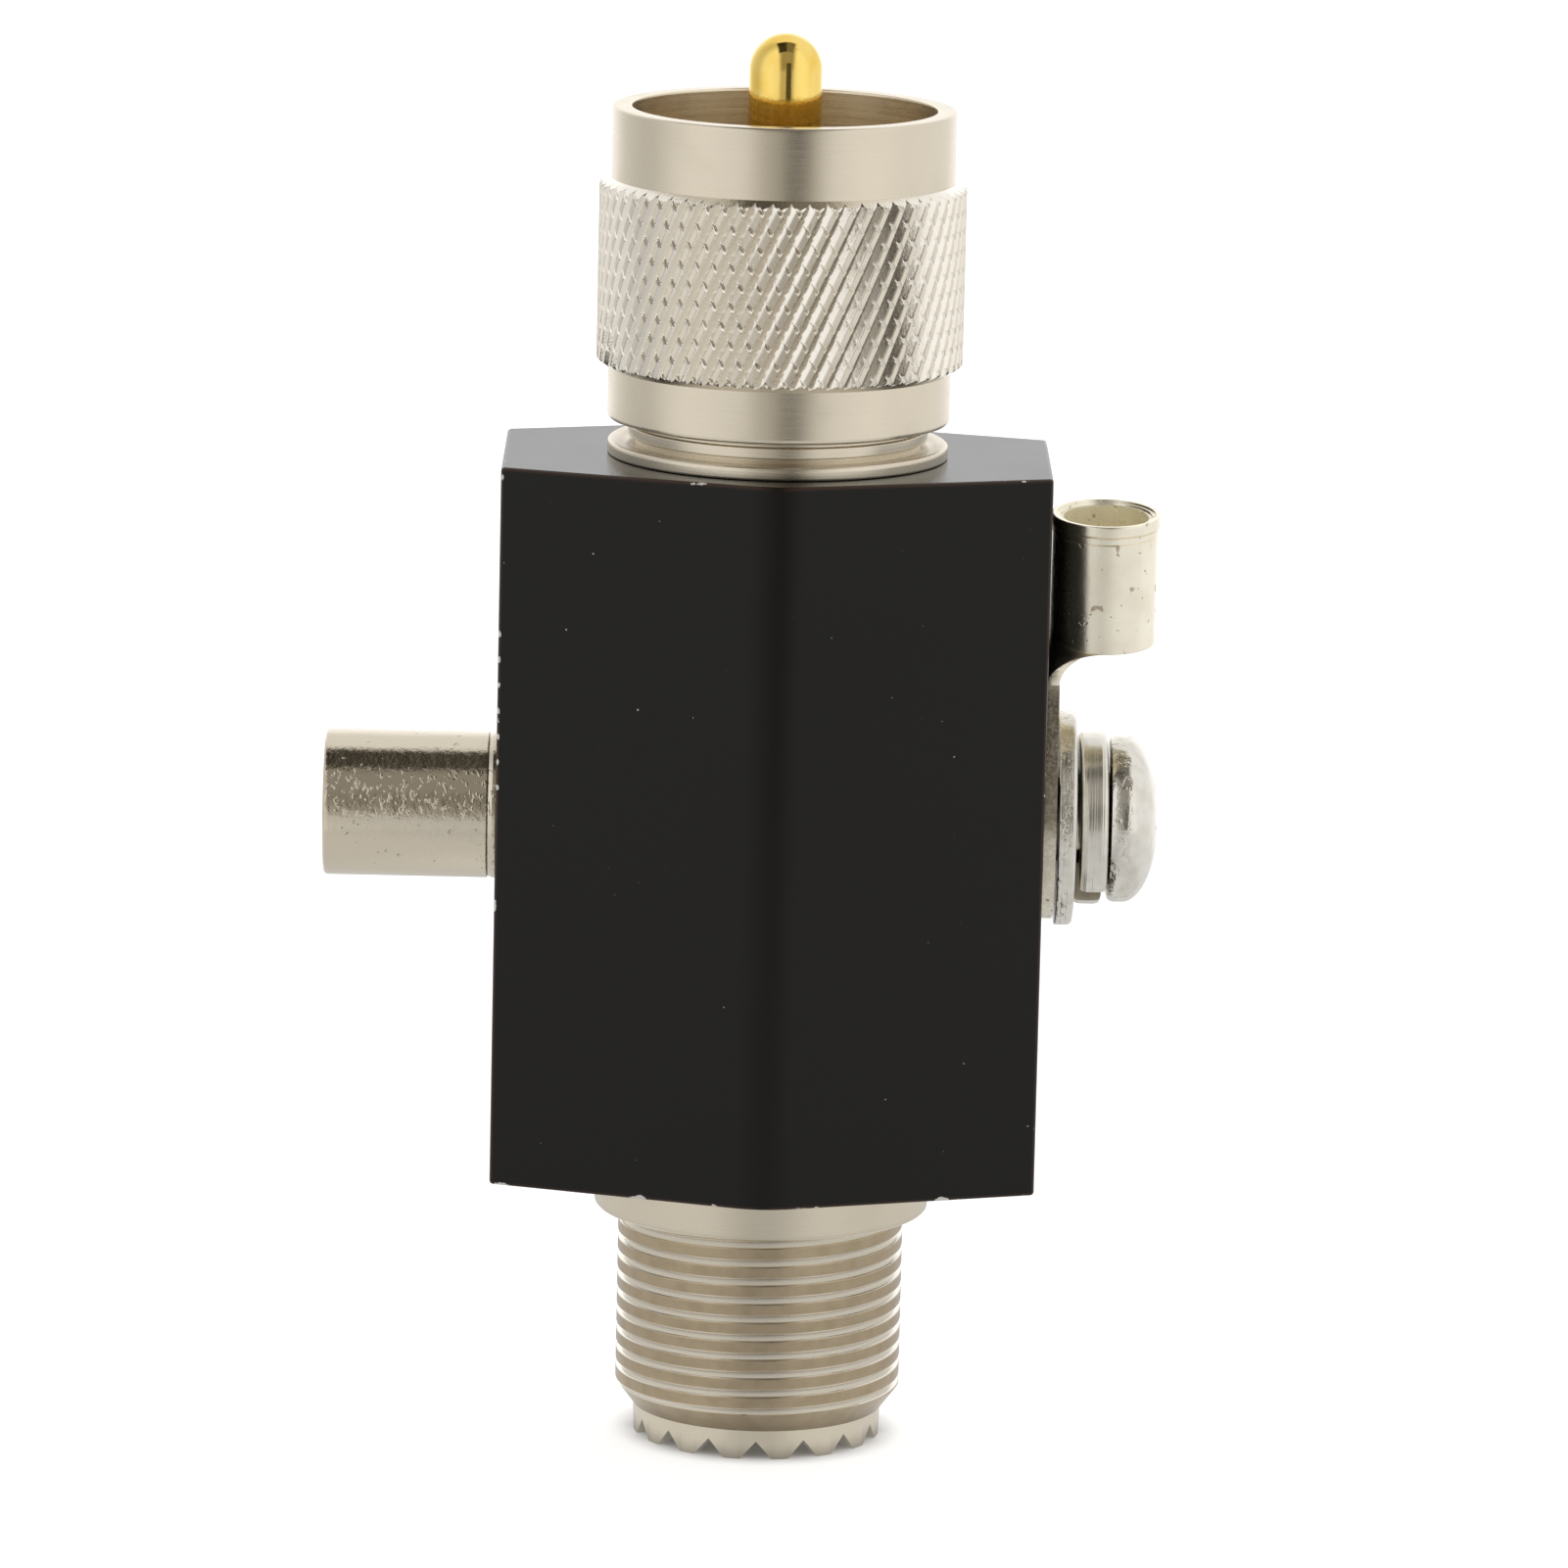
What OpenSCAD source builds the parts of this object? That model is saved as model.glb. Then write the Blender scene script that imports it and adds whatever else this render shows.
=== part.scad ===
// Coaxial lightning arrestor: a block with a plug on top, a socket below,
// a gas discharge tube under a screw cap and a ground terminal.
// Millimetres, +Z up along the line from socket to plug, front face towards -Y.

/* [Body] */
// Width of the body across its two side faces
body_w = 30; // [27:0.5:36]
// Height of the body
body_h = 40; // [34:0.5:50]
// Width of each flat side face, front to back
side_w = 13.4; // [12:0.1:16]
// Slope of the front and rear faces up to their ridges, in degrees
face_slope = 18.3; // [14:0.1:24]
// Radius of the rounded ridge down the front and the rear
ridge_r = 5; // [2:0.5:8]
// Bore around the centre conductor
line_bore_d = 10; // [9:0.1:10.4]
// Length of the connectors' spigots inside the body
spigot_len = 9; // [6:0.5:10]

/* [Coupling thread] */
// Outside diameter of the thread that the socket and the nut share
thread_d = 15.875; // [15.5:0.025:16.5]
// Radial depth of the nut's thread
thread_depth = 0.55; // [0.4:0.05:0.8]

/* [Socket] */
// Length of the toothed ring at the socket's mouth
tooth_ring_len = 1.65; // [1.2:0.05:2.5]
// Radial step from the toothed ring up to the thread
tooth_ring_step = 1.04; // [0.7:0.02:1.2]
// Number of notches in the toothed ring
tooth_count = 16; // [8:1:20]
// Width of each notch at the mouth
notch_w = 1.75; // [1:0.05:1.9]
// Depth of each notch
notch_depth = 1; // [0.6:0.05:1.1]
// Length of the chamfer between the toothed ring and the thread
lead_len = 1.25; // [0.8:0.05:2]
// Length of the socket's thread at full diameter
socket_thread_len = 10.1; // [8:0.1:14]
// Radial lip of the socket's flange beyond the thread
socket_lip = 1.35; // [0.8:0.05:2]
// Thickness of the socket's flange
socket_flange_t = 2.3; // [1.5:0.1:4]
// Diameter of the socket's insulator
socket_insulator_d = 11.6; // [11:0.1:12]
// Depth of the socket's insulator seat inside the body
socket_seat_depth = 3; // [2:0.1:5]
// Depth of the insulator's face behind the teeth
insulator_recess = 1.4; // [0.5:0.1:2.5]

/* [Centre contacts] */
// Diameter of the plug's centre pin
pin_d = 4; // [3.8:0.05:4.2]
// Radial step from the pin out to its thicker root in the insulator
pin_root_step = 0.25; // [0.1:0.05:0.4]
// Radial clearance of the pin in the socket's contact
contact_fit = 0.03; // [0.01:0.01:0.1]
// Wall of the socket's contact
contact_wall = 0.95; // [0.7:0.05:1.2]
// Depth of the contact's bore
contact_bore_len = 13.6; // [12.6:0.1:15]
// Width of the slots that make the contact springy
contact_slot_w = 0.5; // [0.3:0.05:0.6]
// Length of the contact's slots
contact_slot_len = 7; // [4:0.5:10]
// Diameter of the conductor between the two contacts
conductor_d = 4.3; // [4.1:0.1:5]
// Diameter of the threaded studs that join the contacts to the conductor
stud_d = 2.5; // [2:0.1:3]
// Length of those studs
stud_len = 5; // [3:0.5:7]
// Thickness of the shoulders that hold the contacts behind their insulators
shoulder_t = 1; // [0.6:0.1:1.6]
// Radial width of those shoulders beyond the contact
shoulder_lip = 0.6; // [0.4:0.05:0.9]

/* [Plug] */
// Thickness of the plug's flange on the body
plug_flange_t = 0.75; // [0.5:0.05:1.5]
// Width of the relief groove above the flange
relief_w = 0.25; // [0.15:0.05:0.4]
// Depth of the relief groove into the neck
relief_depth = 0.45; // [0.2:0.05:0.6]
// Radial step from the thread out to the neck that carries the nut
neck_step = 0.37; // [0.25:0.02:0.5]
// Radial lip of the plug's flange beyond the neck
plug_lip = 1.05; // [0.6:0.05:1.5]
// Height of the neck above the body
neck_h = 5.5; // [5:0.1:7]
// Length of the sleeve in front of the neck
sleeve_len = 5.2; // [4:0.1:5.6]
// Radial clearance of the sleeve inside the nut's thread
sleeve_clear = 0.55; // [0.4:0.05:0.8]
// Diameter of the plug's insulator
plug_insulator_d = 11; // [10.6:0.1:11.4]
// Height of the plug's insulator seat above the body
plug_seat_h = 3; // [2:0.1:4]
// Depth of the insulator's face inside the sleeve
plug_recess = 1.2; // [0.5:0.1:3]
// Length of the pin beyond the nut
pin_proud = 4.05; // [3:0.05:6]
// Width of the two keys on the sleeve's front
key_w = 1.5; // [1:0.1:1.8]
// Height of those keys
key_h = 0.8; // [0.4:0.1:0.9]

/* [Coupling nut] */
// Gap between the plug's flange and the nut
nut_gap = 1.25; // [0.6:0.05:1.6]
// Length of the nut
nut_len = 17.15; // [16:0.05:20]
// Wall of the nut around its mouth
nut_wall = 1.06; // [0.8:0.02:1.6]
// Radial clearance of the nut's mouth over the thread
mouth_clear = 0.4; // [0.2:0.05:0.7]
// Depth of the nut's mouth
mouth_depth = 3.2; // [2:0.1:4.5]
// Length of the smooth skirt below the knurl
skirt_len = 3.05; // [2:0.05:4]
// Length of the knurled band
knurl_len = 9.75; // [7:0.05:11]
// Radial height of the knurled band
knurl_h = 0.65; // [0.3:0.05:1]
// Wire diameter of the nut's retaining ring
ring_wire_d = 0.8; // [0.5:0.05:0.9]
// Height of the retaining ring above the nut's lower end
ring_offset = 1.7; // [1.2:0.05:2]
// Opening in the retaining ring, in degrees
ring_gap_angle = 30; // [15:5:60]

/* [Gas tube] */
// Diameter of the gas tube
tube_d = 5.5; // [5:0.1:6]
// Length of the gas tube
tube_len = 6; // [5:0.1:7]
// Thickness of the tube's end electrodes
electrode_t = 0.9; // [0.6:0.1:1.2]
// Wall of the tube's ceramic ring
ceramic_wall = 0.8; // [0.6:0.05:1]
// Spark gap between the electrodes
spark_gap = 1; // [0.5:0.1:1.5]
// Depth of the flat that the tube bears on, below the conductor's surface
flat_depth = 0.4; // [0.2:0.05:0.6]
// Height of that flat along the conductor
flat_h = 6.4; // [6.2:0.1:8]
// Diameter of the cap outside the body
cap_d = 8.1; // [7.9:0.05:10]
// Length of the cap outside the body
cap_len = 9.6; // [7:0.1:13]
// Thickness of the thin collar at the cap's foot
cap_collar_t = 0.43; // [0.3:0.01:0.8]
// Width and depth of the groove behind that collar
cap_groove = 0.15; // [0.1:0.01:0.25]
// Rounding of the cap's outer end
cap_round = 0.5; // [0.2:0.05:1]
// Diameter of the cap's thread in the body
cap_thread_d = 7.2; // [7:0.1:7.6]
// Thickness of the floor that the spring bears on, inside the body's face
cap_floor = 0.5; // [0.2:0.1:1]
// Wire diameter of the contact spring
spring_wire_d = 0.55; // [0.4:0.05:0.7]
// Outside diameter of the contact spring
spring_d = 4.6; // [4:0.1:5]
// Number of turns in the contact spring
spring_turns = 5.5; // [4:0.5:7]

/* [Ground terminal] */
// Thickness of the lug's tongue
lug_t = 0.8; // [0.6:0.05:1.2]
// Diameter of the lug's round end
lug_d = 11.3; // [10.5:0.1:14]
// Width of the lug where the tongue meets the barrel
lug_neck_w = 6; // [5.6:0.1:8]
// Turn of the lug about the screw, towards the front, in degrees
lug_swing = 6; // [0:1:20]
// Outside diameter of the lug's barrel
barrel_d = 5.6; // [5.4:0.1:7]
// Wall of the lug's barrel
barrel_wall = 0.68; // [0.5:0.02:0.9]
// Gap between the barrel and the body's face
barrel_gap = 0.4; // [0.2:0.05:0.7]
// Distance from the screw to the barrel's lower edge
barrel_start = 10.2; // [9:0.1:11.5]
// Length of the lug's barrel
barrel_len = 7.3; // [6:0.1:12]
// Radius of the sweep from the tongue up to the barrel
barrel_sweep_r = 1.6; // [1:0.1:2.4]
// Radial height of the lip around the barrel's mouth
barrel_lip = 0.08; // [0.04:0.02:0.2]
// Length of that lip
barrel_lip_len = 0.5; // [0.3:0.05:1]
// Diameter of the ground screw's thread
screw_d = 5; // [4:0.5:5]
// Length of the ground screw under its head
screw_len = 10; // [9:0.5:11]
// Diameter of the screw's head
head_d = 9.3; // [8.6:0.1:10.5]
// Height of the screw's head
head_h = 2.85; // [2.4:0.05:3.6]
// Height of the straight rim under the head's dome
head_rim_h = 0.9; // [0.5:0.05:1.3]
// Width of the arms of the head's cross recess
cross_w = 1.1; // [0.8:0.05:1.4]
// Span of the cross recess
cross_d = 5; // [4:0.1:5.4]
// Depth of the cross recess
cross_depth = 2; // [1.4:0.1:2.2]
// Diameter of the flat washer
flat_washer_d = 12; // [10:0.1:13]
// Thickness of the flat washer
flat_washer_t = 1; // [0.8:0.1:1.4]
// Diameter of the spring washer
spring_washer_d = 9.6; // [8.6:0.1:10]
// Thickness of the spring washer's section
spring_washer_t = 1.55; // [1.2:0.05:1.8]
// Rise of the spring washer from one end to the other
spring_washer_rise = 0.3; // [0.1:0.05:0.6]
// Bevel of the washers' outer edges
washer_bevel = 0.3; // [0.1:0.05:0.4]
// Opening of the spring washer, in degrees
split_angle = 14; // [8:1:24]
// Place of that opening around the screw, from straight down towards the rear
split_place = -35; // [-90:5:90]

/* [Fits] */
// Radial clearance of pieces that are pressed or screwed together
fixed_fit = 0.03; // [0.01:0.01:0.05]
// Radial clearance of pieces that turn on each other
running_fit = 0.08; // [0.03:0.01:0.1]
// Radial clearance of washers and lug on the screw
screw_clear = 0.15; // [0.1:0.05:0.3]
// Gap between flat faces of pieces that move apart
face_gap = 0.02; // [0.01:0.01:0.05]

/* [Hidden] */
$fn = 96;

anodised = [0.13, 0.13, 0.12];
nickel = [0.72, 0.68, 0.61];
gold = [0.83, 0.66, 0.32];
ptfe = [0.93, 0.92, 0.88];
tinned = [0.80, 0.75, 0.66];
steel = [0.68, 0.69, 0.70];
ceramic = [0.94, 0.92, 0.90];

// Overshoot of a cutting tool past the face that it opens
overshoot = 1;
// Small bevels on turned edges and on the screw's tip
edge_bevel = 0.2;
tip_bevel = 0.4;
// Flare at the mouth of the lug's tube
barrel_flare = 0.3;

// Heights along the line
lead_z = tooth_ring_len;
thread_z = lead_z + lead_len;
flange_z = thread_z + socket_thread_len;
body_z = flange_z + socket_flange_t;
top_z = body_z + body_h;
cross_z = body_z + body_h / 2;
neck_z = top_z + neck_h;
sleeve_z = neck_z + sleeve_len;
nut_z = top_z + plug_flange_t + nut_gap;
nut_top_z = nut_z + nut_len;
knurl_z = nut_z + skirt_len;
mouth_z = nut_top_z - mouth_depth;
ring_z = nut_z + ring_offset;
pin_tip_z = nut_top_z + pin_proud;

// Radii along the line
line_r = line_bore_d / 2;
thread_r = thread_d / 2;
tooth_ring_r = thread_r - tooth_ring_step;
socket_flange_r = thread_r + socket_lip;
spigot_r = thread_r - thread_depth;
neck_r = thread_r + neck_step;
plug_flange_r = neck_r + plug_lip;
nut_thread_r = thread_r - thread_depth;
nut_mouth_r = thread_r + mouth_clear;
nut_bore_r = neck_r + running_fit;
nut_r = nut_mouth_r + nut_wall;
knurl_r = nut_r + knurl_h;
sleeve_r = nut_thread_r - sleeve_clear;
socket_insulator_r = socket_insulator_d / 2;
plug_insulator_r = plug_insulator_d / 2;
pin_r = pin_d / 2;
pin_root_r = pin_r + pin_root_step;
contact_bore_r = pin_r + contact_fit;
contact_r = contact_bore_r + contact_wall;
shoulder_r = contact_r + shoulder_lip;
conductor_r = conductor_d / 2;
stud_r = stud_d / 2;
ring_r = neck_r - running_fit;

// Seats of the insulators and the ends of the conductor
socket_seat_z = body_z + socket_seat_depth;
plug_seat_z = top_z + plug_seat_h;
plug_face_z = sleeve_z - plug_recess;
conductor_z = socket_seat_z + shoulder_t;
conductor_top_z = plug_seat_z - shoulder_t;
// Room past the end of a stud, of the cap's thread and of the screw
stud_end_gap = 0.5;
cap_end_gap = 0.2;
screw_end_gap = 0.8;

// Distances from the line towards the gas tube's side
side_x = body_w / 2;
flat_x = conductor_r - flat_depth;
tube_x = flat_x + face_gap;
tube_end_x = tube_x + tube_len;
tube_r = tube_d / 2;
electrode_step = 0.15;
electrode_r = tube_r - electrode_step;
ceramic_bore_r = tube_r - ceramic_wall;
tip_clear = 0.35;
tip_r = ceramic_bore_r - tip_clear;
tip_len = (tube_len - spark_gap) / 2 - electrode_t;
cap_r = cap_d / 2;
cap_thread_r = cap_thread_d / 2;
cap_bore_r = tube_r + running_fit;
cap_mouth_x = line_r + cap_end_gap;
cap_floor_x = side_x - cap_floor;
cap_foot_x = side_x + face_gap;
cap_end_x = side_x + cap_len;
spring_wire_r = spring_wire_d / 2;
spring_x = tube_end_x + spring_wire_r;
spring_end_x = cap_floor_x - face_gap - spring_wire_r;

// Distances from the line towards the ground terminal's side
lug_x = side_x + face_gap;
flat_washer_x = lug_x + lug_t + face_gap;
spring_washer_x = flat_washer_x + flat_washer_t;
head_x = spring_washer_x + spring_washer_t + spring_washer_rise + face_gap;
screw_tip_x = head_x - screw_len;
screw_hole_x = screw_tip_x - screw_end_gap;
screw_r = screw_d / 2;
screw_hole_r = screw_r + running_fit;
washer_bore_r = screw_r + screw_clear;
barrel_r = barrel_d / 2;
barrel_bore_r = barrel_r - barrel_wall;
barrel_x = barrel_gap + barrel_r;
barrel_end = barrel_start + barrel_len;
head_r = head_d / 2;

// Points of an arc from angle a to angle b
function arc(centre, radius, a, b, steps) =
    [for (i = [0:steps]) centre + radius * [cos(a + (b - a) * i / steps), sin(a + (b - a) * i / steps)]];

// Turns its child's Z axis towards the gas tube's side
module towards_tube() {
    translate([0, 0, cross_z])
        rotate([0, -90, 0])
            children();
}

// Turns its child's Z axis towards the ground terminal's side
module towards_ground() {
    translate([0, 0, cross_z])
        rotate([0, 90, 0])
            children();
}

// A flat ring along Z
module ring(outer_r, inner_r, z, length) {
    translate([0, 0, z])
        difference() {
            cylinder(r = outer_r, h = length);
            translate([0, 0, -overshoot])
                cylinder(r = inner_r, h = length + 2 * overshoot);
        }
}

// A solid swept through rings of points, closed by its first and last ring
module sweep(rings) {
    count = len(rings[0]);
    last = len(rings) - 1;
    points = [for (r = rings) each r];
    sides = [
        for (i = [0:last - 1], j = [0:count - 1])
            let (a = i * count + j, b = i * count + (j + 1) % count)
            each [[a, b, b + count], [a, b + count, a + count]]
    ];
    first_cap = [for (j = [0:count - 1]) count - 1 - j];
    last_cap = [for (j = [0:count - 1]) last * count + j];
    polyhedron(points, [for (f = concat(sides, [first_cap, last_cap])) [for (k = [len(f) - 1:-1:0]) f[k]]]);
}

// Half of the body's outline: a sloping face each side of a rounded ridge
function ridge_outline() =
    let (
        apex = side_w / 2 + side_x * tan(face_slope),
        centre = [0, apex - ridge_r / cos(face_slope)]
    )
    concat(
        [[side_x, side_w / 2]],
        arc(centre, ridge_r, 90 - face_slope, 90 + face_slope, 16),
        [[-side_x, side_w / 2]]
    );

module body_outline() {
    front = ridge_outline();
    polygon(concat(front, [for (p = front) -p]));
}

module body_block() {
    color(anodised)
        difference() {
            translate([0, 0, body_z])
                linear_extrude(body_h)
                    body_outline();
            translate([0, 0, body_z - overshoot])
                cylinder(r = line_r, h = body_h + 2 * overshoot);
            for (z = [body_z - overshoot, top_z - spigot_len])
                translate([0, 0, z])
                    cylinder(r = spigot_r + fixed_fit, h = spigot_len + overshoot);
            towards_tube()
                translate([0, 0, line_r / 2])
                    cylinder(r = cap_thread_r + running_fit, h = side_x);
            towards_ground()
                translate([0, 0, screw_hole_x])
                    cylinder(r = screw_hole_r, h = side_x - screw_hole_x + overshoot);
        }
}

// Turned body of the plug, with a groove for the nut's retaining ring
module plug_body() {
    groove_r = ring_r - ring_wire_d / 2 - running_fit;
    groove_w = ring_wire_d + 2 * running_fit;
    flange_top = top_z + plug_flange_t;
    round_r = plug_flange_t / 2;
    insulator_bore_r = plug_insulator_r + fixed_fit;
    profile = concat(
        [
            [line_r, top_z - spigot_len],
            [spigot_r, top_z - spigot_len],
            [spigot_r, top_z],
            [plug_flange_r, top_z],
        ],
        arc([plug_flange_r - round_r, flange_top - round_r], round_r, 0, 90, 6),
        [
            [neck_r - relief_depth, flange_top],
            [neck_r - relief_depth, flange_top + relief_w],
            [neck_r, flange_top + relief_w],
            [neck_r, ring_z - groove_w / 2],
            [groove_r, ring_z - groove_w / 2],
            [groove_r, ring_z + groove_w / 2],
            [neck_r, ring_z + groove_w / 2],
            [neck_r, neck_z],
            [sleeve_r, neck_z],
            [sleeve_r, sleeve_z],
            [insulator_bore_r, sleeve_z],
            [insulator_bore_r, plug_seat_z],
            [line_r, plug_seat_z],
        ]
    );
    color(nickel)
        union() {
            rotate_extrude()
                polygon(profile);
            intersection() {
                ring(sleeve_r, insulator_bore_r, sleeve_z - key_h, 2 * key_h);
                translate([-key_w / 2, -sleeve_r, sleeve_z - key_h])
                    cube([key_w, 2 * sleeve_r, 2 * key_h]);
            }
        }
}

// Captive nut: a smooth skirt, the knurled band and a smooth mouth
module coupling_nut() {
    groove_r = ring_r + ring_wire_d / 2 + running_fit;
    groove_w = ring_wire_d + 2 * running_fit;
    shoulder_z = neck_z + face_gap;
    band_end = knurl_z + knurl_len;
    bevel = knurl_h / 2;
    profile = [
        [nut_bore_r, nut_z],
        [nut_r - edge_bevel, nut_z],
        [nut_r, nut_z + edge_bevel],
        [nut_r, knurl_z],
        [knurl_r - bevel, knurl_z],
        [knurl_r, knurl_z + bevel],
        [knurl_r, band_end - bevel],
        [knurl_r - bevel, band_end],
        [nut_r, band_end],
        [nut_r, nut_top_z - edge_bevel],
        [nut_r - edge_bevel, nut_top_z],
        [nut_mouth_r, nut_top_z],
        [nut_mouth_r, mouth_z],
        [nut_thread_r, mouth_z - (nut_mouth_r - nut_thread_r)],
        [nut_thread_r, shoulder_z],
        [nut_bore_r, shoulder_z],
        [nut_bore_r, ring_z + groove_w / 2],
        [groove_r, ring_z + groove_w / 2],
        [groove_r, ring_z - groove_w / 2],
        [nut_bore_r, ring_z - groove_w / 2],
    ];
    color(nickel)
        rotate_extrude()
            polygon(profile);
}

// Open wire ring that lies half in the neck and half in the nut
module nut_retaining_ring() {
    color(steel)
        translate([0, 0, ring_z])
            rotate([0, 0, ring_gap_angle / 2])
                rotate_extrude(angle = 360 - ring_gap_angle)
                    translate([ring_r, 0])
                        circle(d = ring_wire_d, $fn = 32);
}

module plug_insulator() {
    color(ptfe)
        ring(plug_insulator_r, pin_root_r + fixed_fit, plug_seat_z, plug_face_z - plug_seat_z);
}

// Round-nosed pin with a shoulder and a stud below the insulator
module centre_pin() {
    nose_z = pin_tip_z - pin_r;
    color(gold)
        rotate_extrude()
            union() {
                translate([0, conductor_top_z - stud_len])
                    square([stud_r, stud_len]);
                translate([0, conductor_top_z])
                    square([shoulder_r, shoulder_t]);
                translate([0, plug_seat_z])
                    square([pin_root_r, plug_face_z - plug_seat_z]);
                translate([0, plug_face_z])
                    square([pin_r, nose_z - plug_face_z]);
                translate([0, nose_z])
                    intersection() {
                        circle(r = pin_r);
                        square(pin_r);
                    }
            }
}

// Rod between the contacts, with a flat for the gas tube
module line_conductor() {
    hole_len = stud_len + stud_end_gap;
    color(nickel)
        difference() {
            translate([0, 0, conductor_z])
                cylinder(r = conductor_r, h = conductor_top_z - conductor_z);
            translate([0, 0, conductor_z - overshoot])
                cylinder(r = stud_r + fixed_fit, h = hole_len + overshoot);
            translate([0, 0, conductor_top_z - hole_len])
                cylinder(r = stud_r + fixed_fit, h = hole_len + overshoot);
            translate([-conductor_d, -conductor_r, cross_z - flat_h / 2])
                cube([conductor_d - flat_x, conductor_d, flat_h]);
        }
}

// Threaded barrel with a flange against the body and a notched ring at its mouth
module socket_shell() {
    bore_r = socket_insulator_r + fixed_fit;
    profile = [
        [bore_r, 0],
        [tooth_ring_r, 0],
        [tooth_ring_r, lead_z],
        [thread_r, thread_z],
        [thread_r, flange_z],
        [socket_flange_r - edge_bevel, flange_z],
        [socket_flange_r, flange_z + edge_bevel],
        [socket_flange_r, body_z],
        [spigot_r, body_z],
        [spigot_r, body_z + spigot_len],
        [line_r, body_z + spigot_len],
        [line_r, socket_seat_z],
        [bore_r, socket_seat_z],
    ];
    color(nickel)
        difference() {
            rotate_extrude()
                polygon(profile);
            for (i = [0:tooth_count - 1])
                rotate([0, 0, -90 + i * 360 / tooth_count])
                    notch();
        }
}

// One V-shaped notch, cut outwards through the toothed ring
module notch() {
    translate([0, 0, -overshoot])
        rotate([90, 0, 90])
            linear_extrude(thread_r)
                polygon([
                    [-notch_w / 2, 0],
                    [notch_w / 2, 0],
                    [notch_w / 2, overshoot],
                    [0, overshoot + notch_depth],
                    [-notch_w / 2, overshoot],
                ]);
}

module socket_insulator() {
    color(ptfe)
        ring(socket_insulator_r, contact_r + fixed_fit, insulator_recess, socket_seat_z - insulator_recess);
}

// Slotted tube that grips a pin, with a shoulder and a stud above the insulator
module socket_contact() {
    color(gold)
        difference() {
            union() {
                cylinder(r = contact_r, h = socket_seat_z);
                translate([0, 0, socket_seat_z])
                    cylinder(r = shoulder_r, h = shoulder_t);
                translate([0, 0, conductor_z])
                    cylinder(r = stud_r, h = stud_len);
            }
            translate([0, 0, -overshoot])
                cylinder(r = contact_bore_r, h = contact_bore_len + overshoot);
            for (a = [45, 135])
                rotate([0, 0, a])
                    translate([-contact_r - overshoot, -contact_slot_w / 2, -overshoot])
                        cube([2 * (contact_r + overshoot), contact_slot_w, contact_slot_len + overshoot]);
        }
}

// Screw cap over the gas tube: a hollow thread, a thin collar and a plain barrel
module gas_tube_cap() {
    profile = concat(
        [
            [cap_bore_r, cap_mouth_x],
            [cap_thread_r, cap_mouth_x],
            [cap_thread_r, cap_foot_x],
            [cap_r, cap_foot_x],
            [cap_r, cap_foot_x + cap_collar_t],
            [cap_r - cap_groove, cap_foot_x + cap_collar_t + cap_groove / 2],
            [cap_r, cap_foot_x + cap_collar_t + cap_groove],
        ],
        arc([cap_r - cap_round, cap_end_x - cap_round], cap_round, 0, 90, 6),
        [[0, cap_end_x], [0, cap_floor_x], [cap_bore_r, cap_floor_x]]
    );
    color(nickel)
        towards_tube()
            rotate_extrude()
                polygon(profile);
}

module gas_tube_ceramic() {
    color(ceramic)
        towards_tube()
            ring(tube_r, ceramic_bore_r, tube_x + electrode_t, tube_len - 2 * electrode_t);
}

// End disc with a raised tip that faces the other electrode
module electrode() {
    cylinder(r = electrode_r, h = electrode_t);
    translate([0, 0, electrode_t])
        cylinder(r1 = tip_r, r2 = tip_r - tip_clear, h = tip_len);
}

module inner_electrode() {
    color(nickel)
        towards_tube()
            translate([0, 0, tube_x])
                electrode();
}

module outer_electrode() {
    color(nickel)
        towards_tube()
            translate([0, 0, tube_end_x])
                mirror([0, 0, 1])
                    electrode();
}

// Coil that presses the gas tube onto the conductor
module contact_spring() {
    coil_r = spring_d / 2 - spring_wire_r;
    steps = ceil(spring_turns * 14);
    rings = [
        for (i = [0:steps])
            let (
                turn = 360 * spring_turns * i / steps,
                x = spring_x + (spring_end_x - spring_x) * i / steps
            )
            [
                for (j = [0:7])
                    let (r = coil_r + spring_wire_r * cos(45 * j))
                    [r * cos(turn), r * sin(turn), x + spring_wire_r * sin(45 * j)]
            ]
    ];
    color(steel)
        towards_tube()
            sweep(rings);
}

// Crimp lug: a round tongue under the screw that sweeps up into a tube for the wire
module ground_lug() {
    color(tinned)
        translate([lug_x, 0, cross_z])
            rotate([lug_swing, 0, 0])
                union() {
                    difference() {
                        rotate([90, 0, 90])
                            linear_extrude(lug_t)
                                lug_outline();
                        translate([-overshoot, 0, 0])
                            rotate([0, 90, 0])
                                cylinder(r = washer_bore_r, h = lug_t + 2 * overshoot);
                    }
                    lug_barrel();
                }
}

// Outline of the tongue: a disc with straight sides that leave it at a tangent, just inside its edge
module lug_outline() {
    r = lug_d / 2;
    half = lug_neck_w / 2;
    inset = 0.005;
    reach = norm([half, barrel_start]);
    meet = atan2(barrel_start, half) - acos(r / reach);
    foot = (r - inset) * [cos(meet), sin(meet)];
    circle(r = r);
    polygon([
        [-foot.x, foot.y],
        [foot.x, foot.y],
        [half, barrel_start],
        [-half, barrel_start],
    ]);
}

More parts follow.
